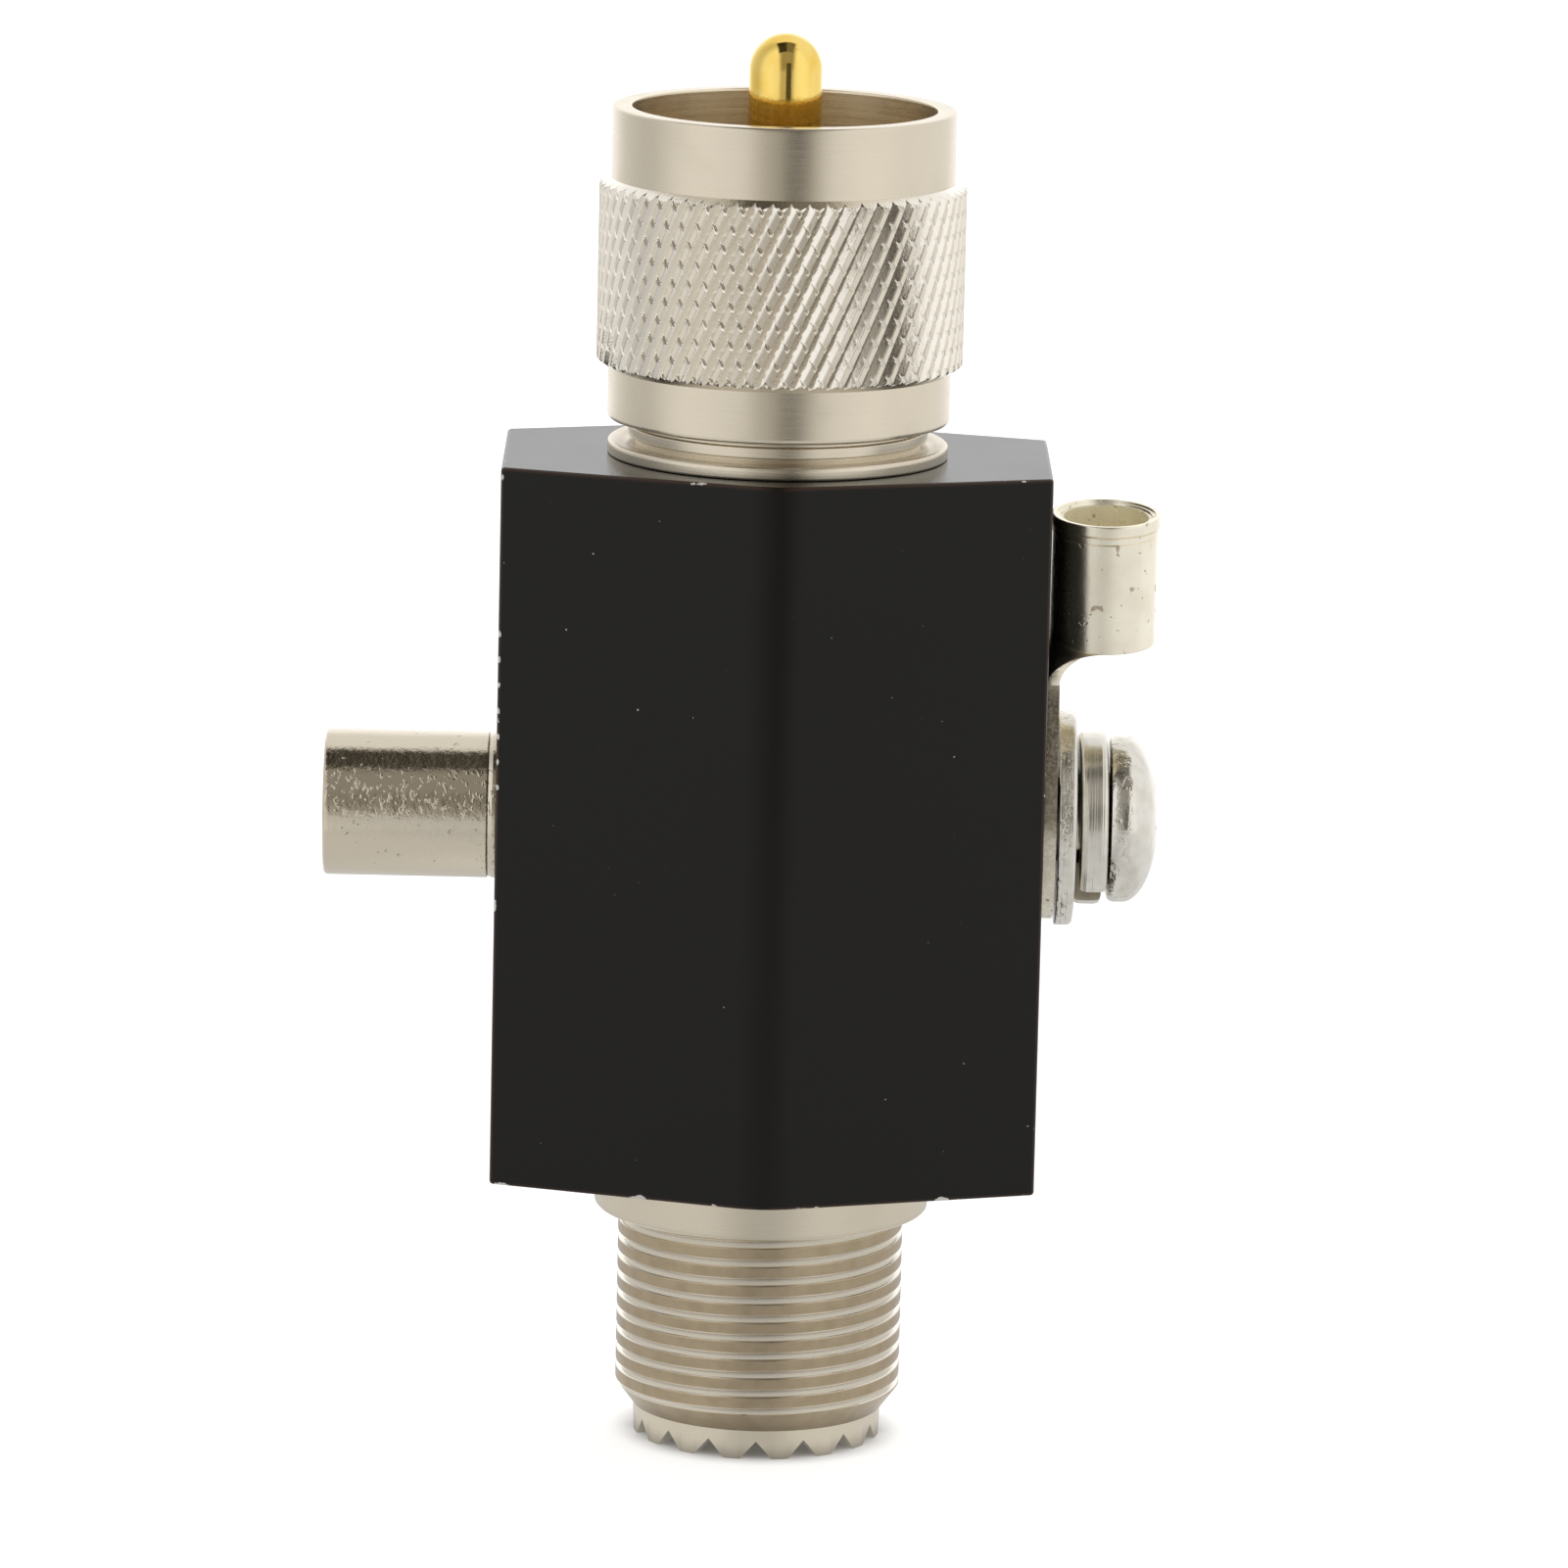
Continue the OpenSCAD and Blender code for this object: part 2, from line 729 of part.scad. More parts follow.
// Tube of the lug, cut back below along a curve that runs out onto the tongue
module lug_barrel() {
    foot = barrel_start - barrel_sweep_r;
    difference() {
        union() {
            translate([barrel_x, 0, foot])
                cylinder(r = barrel_r, h = barrel_end - foot);
            translate([barrel_x, 0, barrel_end - barrel_lip_len])
                cylinder(r = barrel_r + barrel_lip, h = barrel_lip_len);
        }
        translate([barrel_x, 0, foot - overshoot])
            cylinder(r = barrel_bore_r, h = barrel_end - foot + 2 * overshoot);
        translate([barrel_x, 0, barrel_end - barrel_flare])
            cylinder(r1 = barrel_bore_r, r2 = barrel_bore_r + 2 * barrel_flare, h = 2 * barrel_flare);
        translate([0, barrel_d, 0])
            rotate([90, 0, 0])
                linear_extrude(2 * barrel_d)
                    barrel_cut(foot);
    }
}

// Region below the barrel's swept lower edge
module barrel_cut(foot) {
    sweep_x = lug_t + barrel_sweep_r;
    translate([sweep_x, foot])
        circle(r = barrel_sweep_r);
    translate([sweep_x, foot - overshoot])
        square([barrel_d + barrel_x, barrel_sweep_r + overshoot]);
}

// Punched washer with one rounded edge
module flat_washer() {
    outer_r = flat_washer_d / 2;
    color(steel)
        towards_ground()
            translate([0, 0, flat_washer_x])
                rotate_extrude()
                    polygon([
                        [washer_bore_r, 0],
                        [outer_r, 0],
                        [outer_r, flat_washer_t - washer_bevel],
                        [outer_r - washer_bevel, flat_washer_t],
                        [washer_bore_r, flat_washer_t],
                    ]);
}

// Split ring whose ends stand apart along the screw
module spring_washer() {
    steps = 48;
    outer_r = spring_washer_d / 2;
    rings = [
        for (i = [0:steps])
            let (
                turn = split_place + split_angle / 2 + (360 - split_angle) * i / steps,
                x = spring_washer_x + spring_washer_rise * i / steps,
                section = [
                    [washer_bore_r, 0],
                    [outer_r - washer_bevel, 0],
                    [outer_r, washer_bevel],
                    [outer_r, spring_washer_t - washer_bevel],
                    [outer_r - washer_bevel, spring_washer_t],
                    [washer_bore_r, spring_washer_t],
                ]
            )
            [for (s = section) [s.x * cos(turn), s.x * sin(turn), x + s.y]]
    ];
    color(steel)
        towards_ground()
            sweep(rings);
}

// Pan-head screw with a cross recess
module ground_screw() {
    dome_h = head_h - head_rim_h;
    dome_z = head_x + head_rim_h;
    profile = concat(
        [
            [0, screw_tip_x],
            [screw_r - tip_bevel, screw_tip_x],
            [screw_r, screw_tip_x + tip_bevel],
            [screw_r, head_x],
            [head_r - edge_bevel, head_x],
            [head_r, head_x + edge_bevel],
        ],
        [for (a = [0:10:90]) [head_r * cos(a), dome_z + dome_h * sin(a)]]
    );
    color(steel)
        towards_ground()
            difference() {
                rotate_extrude()
                    polygon(profile);
                translate([0, 0, head_x + head_h])
                    cross_recess();
            }
}

// Tapered cross cut down into the top of the head
module cross_recess() {
    intersection() {
        translate([0, 0, -cross_depth])
            cylinder(r1 = cross_w, r2 = cross_d, h = 2 * cross_depth);
        for (a = [0, 90])
            rotate([0, 0, a])
                translate([-cross_d / 2, -cross_w / 2, -cross_depth])
                    cube([cross_d, cross_w, cross_depth + overshoot]);
    }
}

body_block();
plug_body();
coupling_nut();
nut_retaining_ring();
plug_insulator();
centre_pin();
line_conductor();
socket_shell();
socket_insulator();
socket_contact();
gas_tube_cap();
gas_tube_ceramic();
inner_electrode();
outer_electrode();
contact_spring();
ground_lug();
flat_washer();
spring_washer();
ground_screw();
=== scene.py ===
import math

import bmesh
import bpy
from mathutils import Matrix, Vector


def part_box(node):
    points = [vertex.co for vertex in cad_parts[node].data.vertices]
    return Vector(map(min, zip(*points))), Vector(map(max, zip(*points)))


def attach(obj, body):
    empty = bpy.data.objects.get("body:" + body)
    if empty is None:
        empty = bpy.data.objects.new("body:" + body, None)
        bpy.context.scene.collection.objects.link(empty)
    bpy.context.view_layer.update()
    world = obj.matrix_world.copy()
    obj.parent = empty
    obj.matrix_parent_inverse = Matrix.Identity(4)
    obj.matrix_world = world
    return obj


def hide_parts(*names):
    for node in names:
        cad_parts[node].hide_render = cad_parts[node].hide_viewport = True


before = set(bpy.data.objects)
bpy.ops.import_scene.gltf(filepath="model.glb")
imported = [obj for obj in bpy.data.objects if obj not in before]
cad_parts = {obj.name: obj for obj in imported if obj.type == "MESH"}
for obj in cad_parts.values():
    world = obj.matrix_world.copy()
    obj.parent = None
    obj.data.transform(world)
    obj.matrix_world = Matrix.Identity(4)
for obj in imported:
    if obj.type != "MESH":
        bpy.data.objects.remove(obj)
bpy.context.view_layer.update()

# Meshes are drawn in millimetres and scaled to metres when they become pieces
MM = 0.001
# Points nearer than this become one; the loose distance is for rims and repeated strips
WELD = 1e-4
LOOSE_WELD = 1e-3
# Edges that bend more than this are drawn sharp; the crisp angle suits pieces with flat faces
SMOOTH_ANGLE = math.radians(32)
CRISP_ANGLE = math.radians(12)
# Distance from a bend to the point that keeps its side flat in the shading
HOLD = 0.04

# Sizes that the frame's boxes don't give, in millimetres
SIDE_FACE = 13.4
FACE_SLOPE = math.radians(18.3)
RIDGE_RADIUS = 5
THREAD_PITCH = 25.4 / 24
THREAD_RADIUS = 15.875 / 2
LINE_BORE = 5
SPIGOT_RADIUS = 7.39
SPIGOT_LENGTH = 9
INSULATOR_SEAT = 3
TOOTH_RADIUS = THREAD_RADIUS - 1.04
TOOTH_TOP = 1.65
LEAD_TOP = 2.9
CAP_HOLE = 3.68
CAP_BORE = 2.83
CAP_STEM = 3.35
CAP_PITCH = 0.75
GROUND_HOLE = 2.58
GROUND_HOLE_DEPTH = 7
WASHER_HOLE = 2.65
SCREW_CORE = 2.1
SCREW_PITCH = 0.8
HEAD_RIM = 0.9
# The lug's tongue and barrel, in the lug's own place
LUG_LEAN = math.radians(6)
LUG_THICK = 0.7
LUG_END_RADIUS = 5.65
LUG_HOLE = 2.65
NECK_HALF = 3.0
BARREL_X = 3.07
BARREL_LOW = 10.2
BARREL_HIGH = 17.5
BARREL_RADIUS = 2.9
BARREL_BORE = 2.12
FLARE_HEIGHT = 1.6
# Steps of the barrel's mouth: radius, depth below the rim and rounding
MOUTH_STEPS = [(2.74, 0, 0.04), (2.69, 0.12, 0), (2.54, 0.1, 0.03), (2.48, 0.22, 0), (2.33, 0.2, 0.04)]
MOUTH_DEPTH = 2.4
# Name of the attribute that marks the lug's cut edges
SHEARED = "sheared"


def span(node):
    """Lowest and highest corner of a node, in millimetres."""
    low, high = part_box(node)
    return Vector(low) / MM, Vector(high) / MM


BLOCK_LOW, BLOCK_HIGH = span("body_block")
CROSS_Z = (BLOCK_LOW.z + BLOCK_HIGH.z) / 2
SIDE_X = BLOCK_HIGH.x


def lead_radius(z):
    """Radius of the socket's lead-in chamfer at a height; z may be a number or a wire."""
    slope = (THREAD_RADIUS - TOOTH_RADIUS - 0.1) / (LEAD_TOP - TOOTH_TOP)
    return TOOTH_RADIUS + 0.1 + (z - TOOTH_TOP) * slope


# Points and profiles


def arc(centre, radius, start, end, steps):
    """Points of a circle's arc, with angles in degrees."""
    angles = [math.radians(start + (end - start) * i / steps) for i in range(steps + 1)]
    return [(centre[0] + radius * math.cos(a), centre[1] + radius * math.sin(a)) for a in angles]


def rounded(corners, steps=3):
    """A closed outline with rounded corners (x, y, radius).

    A point next to each end of a bend keeps the straight sides flat in the shading.
    """
    outline = []
    for i, (x, y, radius) in enumerate(corners):
        here = Vector((x, y))
        before = Vector(corners[i - 1][:2]) - here
        after = Vector(corners[(i + 1) % len(corners)][:2]) - here
        if radius == 0 or before.length == 0 or after.length == 0:
            outline.append((x, y))
            continue
        half = before.angle(after) / 2
        reach = min(radius / math.tan(half), before.length * 0.45, after.length * 0.45)
        first = here + before.normalized() * reach
        last = here + after.normalized() * reach
        shares = [k / steps for k in range(steps + 1)]
        bend = [first.lerp(here, share).lerp(here.lerp(last, share), share) for share in shares]
        bend.insert(0, first + before.normalized() * min(HOLD, before.length * 0.05))
        bend.append(last + after.normalized() * min(HOLD, after.length * 0.05))
        outline += [tuple(point) for point in bend]
    return outline


# Mesh makers


def loop_of(bm, points, closed=True):
    """Vertices and edges through points."""
    verts = [bm.verts.new(p) for p in points]
    pairs = list(zip(verts, verts[1:] + verts[:1])) if closed else list(zip(verts, verts[1:]))
    return verts, [bm.edges.new(pair) for pair in pairs]


def turned(bm, outline, steps=160):
    """Spins a closed outline of (radius, height) points round the Z axis."""
    verts, edges = loop_of(bm, [(r, 0, z) for r, z in outline])
    bmesh.ops.spin(
        bm, geom=verts + edges, cent=(0, 0, 0), axis=(0, 0, 1),
        angle=math.tau, steps=steps, use_merge=True, use_duplicate=False,
    )
    bmesh.ops.remove_doubles(bm, verts=bm.verts, dist=WELD)


def threaded(bm, outline, pitch, wall_r, bottom, top, limit=None, steps=96):
    """A threaded ring: one pitch of outline (radius, height) wound from bottom to top and closed at wall_r.

    limit gives the largest radius at a height, for a lead-in chamfer.
    """
    turns = math.ceil((top - bottom) / pitch) + 2
    profile = [(r, k * pitch + z) for k in range(turns) for r, z in outline[:-1]]
    profile.append((outline[-1][0], turns * pitch))
    last = len(profile) - 1
    bmesh.ops.create_grid(bm, x_segments=steps, y_segments=last, size=0.5)
    for v in bm.verts:
        turn = v.co.x + 0.5
        radius, up = profile[round((v.co.y + 0.5) * last)]
        angle = math.tau * turn
        v.co = (radius * math.cos(angle), radius * math.sin(angle), bottom + up + (turn - 1) * pitch)
    bmesh.ops.remove_doubles(bm, verts=bm.verts, dist=WELD)
    for height, up in ((bottom, -1), (top, 1)):
        geom = bm.verts[:] + bm.edges[:] + bm.faces[:]
        bmesh.ops.bisect_plane(
            bm, geom=geom, dist=WELD, plane_co=(0, 0, height), plane_no=(0, 0, up), clear_outer=True,
        )
    if limit:
        for v in bm.verts:
            radius = v.co.xy.length
            v.co.xy *= min(1, limit(v.co.z) / radius)
    rims = []
    for height in (bottom, top):
        ends = [e for e in bm.edges if e.is_boundary]
        rim = [e for e in ends if all(abs(v.co.z - height) < LOOSE_WELD for v in e.verts)]
        made = bmesh.ops.extrude_edge_only(bm, edges=rim)["geom"]
        for v in made:
            if isinstance(v, bmesh.types.BMVert):
                v.co.xy *= wall_r / v.co.xy.length
        rims += [e for e in made if isinstance(e, bmesh.types.BMEdge) and e.is_boundary]
    bmesh.ops.bridge_loops(bm, edges=rims)


def thread_outline(crest_r, root_r, pitch, crest_share, edge=0.1):
    """One pitch of a thread from crest to crest: flat crests with rounded edges and a V between."""
    half = pitch * crest_share / 2
    return rounded([
        (crest_r, 0, 0), (crest_r, half, edge), (root_r, pitch / 2, edge * 0.6),
        (crest_r, pitch - half, edge), (crest_r, pitch, 0),
    ])


def sharp_edges(bm, degrees):
    """Edges whose faces meet at more than an angle."""
    return [e for e in bm.edges if e.is_manifold and e.calc_face_angle(0) > math.radians(degrees)]


def soften(bm, edges, offset, segments=2):
    bmesh.ops.bevel(
        bm, geom=edges, offset=offset, affect="EDGES", segments=segments, profile=0.5, material=-1,
        clamp_overlap=True,
    )


def cylinder(bm, radius, start, end, turn=Matrix(), steps=96):
    """A closed cylinder along Z from start to end, then turned."""
    place = turn @ Matrix.Translation((0, 0, (start + end) / 2))
    bmesh.ops.create_cone(
        bm, cap_ends=True, segments=steps, radius1=radius, radius2=radius, depth=end - start, matrix=place,
    )


def piece(bm, name, body, finish, replaces=(), turn=None, smooth=SMOOTH_ANGLE):
    """Closes a mesh in millimetres into a piece that rides on a body."""
    bmesh.ops.remove_doubles(bm, verts=bm.verts, dist=WELD)
    bmesh.ops.recalc_face_normals(bm, faces=bm.faces)
    if turn:
        bmesh.ops.transform(bm, matrix=turn, verts=bm.verts)
    bmesh.ops.scale(bm, vec=(MM, MM, MM), verts=bm.verts)
    mesh = bpy.data.meshes.new(name)
    bm.to_mesh(mesh)
    bm.free()
    mesh.shade_smooth()
    mesh.set_sharp_from_angle(angle=smooth)
    mesh.materials.append(finish)
    thing = bpy.data.objects.new(name, mesh)
    bpy.context.scene.collection.objects.link(thing)
    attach(thing, body)
    if replaces:
        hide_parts(*replaces)
    return thing


# Turns of a Z-axis mesh towards the gas tube's side and the ground terminal's side
TO_TUBE = Matrix.Translation((0, 0, CROSS_Z)) @ Matrix.Rotation(math.radians(-90), 4, "Y")
TO_GROUND = Matrix.Translation((0, 0, CROSS_Z)) @ Matrix.Rotation(math.radians(90), 4, "Y")

# Finishes


class Wire:
    """A socket of a node tree that takes part in sums."""

    def __init__(self, tree, socket):
        self.tree = tree
        self.socket = socket

    def math(self, operation, first, second):
        return self.tree.node("ShaderNodeMath", {"operation": operation}, {0: first, 1: second})

    def __add__(self, other):
        return self.math("ADD", self, other)

    def __sub__(self, other):
        return self.math("SUBTRACT", self, other)

    def __rsub__(self, other):
        return self.math("SUBTRACT", other, self)

    def __mul__(self, other):
        return self.math("MULTIPLY", self, other)

    def __truediv__(self, other):
        return self.math("DIVIDE", self, other)

    def __pow__(self, other):
        return self.math("POWER", self, other)

    def __abs__(self):
        return self.math("ABSOLUTE", self, 0)

    __radd__ = __add__
    __rmul__ = __mul__

    def least(self, other):
        return self.math("MINIMUM", self, other)

    def most(self, other):
        return self.math("MAXIMUM", self, other)

    def fraction(self):
        return self.math("FRACT", self, 0)

    def rise(self, start, end, low=0, high=1):
        """A smooth step from low to high as the value goes from start to end."""
        return self.tree.node(
            "ShaderNodeMapRange", {"interpolation_type": "SMOOTHSTEP", "clamp": True},
            {"Value": self, "From Min": start, "From Max": end, "To Min": low, "To Max": high},
        )


class Tree:
    """The nodes of one material or of the world."""

    def __init__(self, owner):
        owner.use_nodes = True
        self.nodes = owner.node_tree.nodes
        self.links = owner.node_tree.links
        self.nodes.clear()

    def node(self, kind, settings=None, inputs=None, output=0):
        """Adds a node: its settings first, then the values or links of its sockets."""
        made = self.nodes.new(kind)
        for key, value in (settings or {}).items():
            setattr(made, key, value)
        for key, value in (inputs or {}).items():
            if isinstance(value, Wire):
                self.links.new(value.socket, made.inputs[key])
            else:
                made.inputs[key].default_value = value
        return Wire(self, made.outputs[output]) if made.outputs else made

    def place(self):
        """Object coordinates in millimetres, as a vector."""
        spot = self.node("ShaderNodeTexCoord", output="Object")
        return self.node("ShaderNodeVectorMath", {"operation": "SCALE"}, {0: spot, "Scale": 1 / MM})

    def parts(self, vector):
        split = self.node("ShaderNodeSeparateXYZ", inputs={0: vector})
        owner = split.socket.node
        return [Wire(self, owner.outputs[i]) for i in range(3)]

    def noise(self, place, scale, detail=3, roughness=0.5):
        """Noise about 1 / scale millimetres across."""
        return self.node(
            "ShaderNodeTexNoise", {"noise_dimensions": "3D"},
            {"Vector": place, "Scale": scale, "Detail": detail, "Roughness": roughness},
        )

    def lines(self, along, scale, detail=2):
        """Noise that changes along one direction only, as on a turned face."""
        return self.node(
            "ShaderNodeTexNoise", {"noise_dimensions": "1D"},
            {"W": along, "Scale": scale, "Detail": detail, "Roughness": 0.7},
        )

    def tint(self, share, first, second):
        """A colour between two colours."""
        return self.node(
            "ShaderNodeMix", {"data_type": "RGBA"}, {0: share, 6: first, 7: second}, output=2,
        )

    def bump(self, height, distance, strength=1):
        """A bump whose height of 1 stands distance millimetres proud."""
        return self.node(
            "ShaderNodeBump", inputs={"Height": height, "Distance": distance * MM, "Strength": strength},
        )

    def end(self, shader, kind="ShaderNodeOutputMaterial"):
        self.node(kind, inputs={"Surface": shader})


def new_finish(name):
    material = bpy.data.materials.new(name)
    return material, Tree(material)


def rgb(red, green, blue):
    return (red, green, blue, 1)


NICKEL = rgb(0.73, 0.655, 0.525)
NICKEL_DULL = rgb(0.62, 0.55, 0.43)


def turned_nickel(name, axis, roughness=0.27, line_depth=0.0016, colour=NICKEL, hollow=0):
    """Satin plate with fine lathe lines round an axis; inside a radius of hollow it is streaked and paler,
    painted light where the hollow would be in shade.
    """
    material, t = new_finish(name)
    place = t.place()
    parts = t.parts(place)
    along = parts["XYZ".index(axis)]
    fine = t.lines(along, 9)
    coarse = t.lines(along, 1.6)
    cloud = t.noise(place, 0.35, 4)
    lines = fine * 0.7 + coarse * 0.3
    x, y = parts[:2]
    inside = ((x * x + y * y) ** 0.5).rise(hollow - 0.15, hollow, 1, 0)
    clean = t.tint(cloud.rise(0.5, 0.75) * 0.25, colour, NICKEL_DULL)
    # Inside the hollow the streaks are paler than the plate: painted light.
    streaks_painted_paler = t.tint(lines.rise(0.3, 0.7), rgb(0.76, 0.665, 0.51), rgb(0.93, 0.83, 0.66))
    shader = t.node("ShaderNodeBsdfPrincipled", inputs={
        "Base Color": t.tint(inside, clean, streaks_painted_paler),
        "Metallic": 1.0,
        "Roughness": roughness + (lines - 0.5) * 0.12 + (cloud - 0.5) * 0.1,
        "Normal": t.bump(lines, line_depth),
    })
    t.end(shader)
    return material


def threaded_nickel():
    """The socket's thread: brown, dull crests and lead-in, bright edges below them, and painted shade in the
    roots.
    """
    material, t = new_finish("thread_nickel")
    place = t.place()
    x, y, z = t.parts(place)
    above = (x * x + y * y) ** 0.5 - lead_radius(z).least(THREAD_RADIUS)
    worn = above.rise(-0.04, -0.008)
    lines = t.lines(z, 12)
    cloud = t.noise(place, 0.9, 4)
    brown = t.tint(cloud.rise(0.35, 0.7), rgb(0.48, 0.385, 0.26), rgb(0.42, 0.335, 0.22))
    # Near-black in the thread's roots: painted shade.
    root = above.rise(-0.34, -0.26, 1, 0)
    flank_tone_and_root_shade = t.tint(root, rgb(0.86, 0.82, 0.74), rgb(0.26, 0.22, 0.16))
    shader = t.node("ShaderNodeBsdfPrincipled", inputs={
        "Base Color": t.tint(worn, flank_tone_and_root_shade, brown),
        "Metallic": 1.0,
        "Roughness": 0.2 + worn * 0.05 + (lines - 0.5) * 0.12,
        "Normal": t.bump(lines, 0.002),
    })
    t.end(shader)
    return material


def knurled_nickel():
    """Bright rolled metal with small tool marks, duller and rougher on the crests."""
    material, t = new_finish("knurled_nickel")
    place = t.place()
    x, y = t.parts(place)[:2]
    grain = t.noise(place, 6, 4, 0.6)
    patch = t.noise(place, 1.1, 3)
    crest = span("coupling_nut")[1].x
    land = ((x * x + y * y) ** 0.5).rise(crest - 0.06, crest - 0.02)
    dull = land * 0.8 + patch.rise(0.45, 0.8) * 0.2
    shader = t.node("ShaderNodeBsdfPrincipled", inputs={
        "Base Color": t.tint(dull, rgb(0.9, 0.85, 0.76), rgb(0.76, 0.69, 0.57)),
        "Metallic": 1.0,
        "Roughness": 0.11 + land * 0.26 + (grain - 0.5) * 0.12,
        "Normal": t.bump(grain * (1 + land), 0.012),
    })
    t.end(shader)
    return material


def pitted_nickel():
    """Bright plated metal with small dents and pits, and short wrinkles along its sides above the middle."""
    material, t = new_finish("pitted_nickel")
    place = t.place()
    z = t.parts(place)[2]
    stretched = t.node("ShaderNodeVectorMath", {"operation": "MULTIPLY"}, {0: place, 1: (1.5, 0.9, 0.9)})
    dents = t.noise(place, 1.1, 3, 0.6)
    grain = t.noise(place, 4.2, 4, 0.65)
    pits = t.noise(place, 2.1, 2).rise(0.7, 0.75)
    up = z - CROSS_Z
    crinkled = up.rise(-0.1, 0.3) * up.rise(2.1, 2.9, 1, 0)
    wrinkles = t.noise(stretched, 2.6, 2).rise(0.56, 0.68) * crinkled
    relief = dents * 0.5 + grain * 0.25 + wrinkles * 0.42 - pits * 0.8
    shader = t.node("ShaderNodeBsdfPrincipled", inputs={
        "Base Color": t.tint(pits * 0.5 + grain.rise(0.55, 0.8) * 0.2, rgb(0.69, 0.62, 0.5), NICKEL_DULL),
        "Metallic": 1.0,
        "Roughness": 0.08 + (grain - 0.5) * 0.06 + pits * 0.1,
        "Normal": t.bump(relief, 0.055),
    })
    t.end(shader)
    return material


def polished_gold():
    material, t = new_finish("polished_gold")
    place = t.place()
    cloud = t.noise(place, 0.8, 3)
    fine = t.noise(place, 7, 2)
    shader = t.node("ShaderNodeBsdfPrincipled", inputs={
        "Base Color": t.tint(cloud.rise(0.4, 0.7), rgb(0.97, 0.71, 0.2), rgb(0.93, 0.63, 0.13)),
        "Metallic": 1.0,
        "Roughness": 0.06 + (cloud - 0.5) * 0.04,
        "Normal": t.bump(fine, 0.0015),
    })
    t.end(shader)
    return material


def tinned_copper():
    """Soft tin plate with a warm tone, small pits and stains, darker cut edges, and inside the barrel a pale,
    less metallic tone: painted light where the bore would be in shade.
    """
    material, t = new_finish("tinned_copper")
    place = t.place()
    cloud = t.noise(place, 0.5, 4)
    grain = t.noise(place, 4.5, 3, 0.6)
    pits = t.noise(place, 2.1, 2).rise(0.65, 0.71)
    clean = t.tint(cloud.rise(0.35, 0.7), rgb(0.96, 0.9, 0.75), rgb(0.9, 0.83, 0.68))
    x, y, z = t.parts(place)
    up = z - CROSS_Z
    aside = x - (SIDE_X + BARREL_X)
    across = y * math.cos(LUG_LEAN) + up * math.sin(LUG_LEAN)
    from_axis = (aside * aside + across * across) ** 0.5
    # Inside the barrel's bore the tin turns pale and less metallic: painted light.
    inside = from_axis.rise(BARREL_BORE + 0.25, BARREL_BORE + 0.4, 1, 0)
    inside = inside * up.rise(BARREL_LOW - 0.6, BARREL_LOW)
    cut = t.node("ShaderNodeAttribute", {"attribute_name": SHEARED}, output="Fac")
    sheared = cut * up.rise(7.2, 8.6, 1, 0) * up.rise(-4, 6, 0.3, 1)
    torn = t.tint(grain.rise(0.42, 0.62), rgb(0.34, 0.3, 0.235), rgb(0.62, 0.57, 0.47))
    plate = t.tint(inside, t.tint(sheared, clean, torn), rgb(0.98, 0.92, 0.71))
    shader = t.node("ShaderNodeBsdfPrincipled", inputs={
        "Base Color": t.tint(pits * 0.7, plate, rgb(0.42, 0.33, 0.22)),
        "Metallic": 1 - inside * 0.6,
        "Roughness": 0.28 + (cloud - 0.5) * 0.16 + pits * 0.15,
        "Normal": t.bump(grain * 0.4 + cloud * 0.6 - pits * 0.8, 0.02),
    })
    t.end(shader)
    return material


def zinc_steel(name, line_depth, dent_start, dent_end):
    """Cool grey plated steel with turned lines, and dents between two distances from the body's middle."""
    material, t = new_finish(name)
    place = t.place()
    x = t.parts(place)[0]
    cloud = t.noise(place, 0.9, 4)
    grain = t.noise(place, 3.4, 4, 0.65)
    lines = t.lines(x, 7)
    dented = x.rise(dent_start - 0.1, dent_start + 0.1) * x.rise(dent_end - 0.35, dent_end + 0.15, 1, 0)
    dents = t.noise(place, 1.5, 3, 0.6).rise(0.5, 0.7) * dented
    clean = t.tint(cloud.rise(0.4, 0.7), rgb(0.8, 0.77, 0.7), rgb(0.72, 0.685, 0.61))
    shader = t.node("ShaderNodeBsdfPrincipled", inputs={
        "Base Color": t.tint(dents * 0.35, clean, rgb(0.5, 0.44, 0.35)),
        "Metallic": 1.0,
        "Roughness": 0.24 + (cloud - 0.5) * 0.1 - dented * 0.1,
        "Normal": t.bump(grain * (0.03 + dented * 0.5) + lines * line_depth - dents * 0.7, 0.045),
    })
    t.end(shader)
    return material


# Places on the body's edges where the black is knocked off: (x, y, z, reach)
CHIPPED_SPOTS = [
    (-6.5, -9.5, 15.3, 2.2), (2.5, -11, 15.3, 2), (10, -8.4, 15.3, 1.6), (-14.3, -7, 15.3, 2.2),
    (-4, -10.2, 55.3, 2.2), (13.8, -7, 55.3, 1.4), (14.6, 6, 55.3, 1.6), (-15, -6.7, 31.5, 1.5),
    (14.7, -6.8, 15.3, 1.6),
]
# A row of small dots along one upright edge: first and last height, and spacing
DOT_START = 37.6
DOT_END = 46.3
DOT_STEP = 1.42


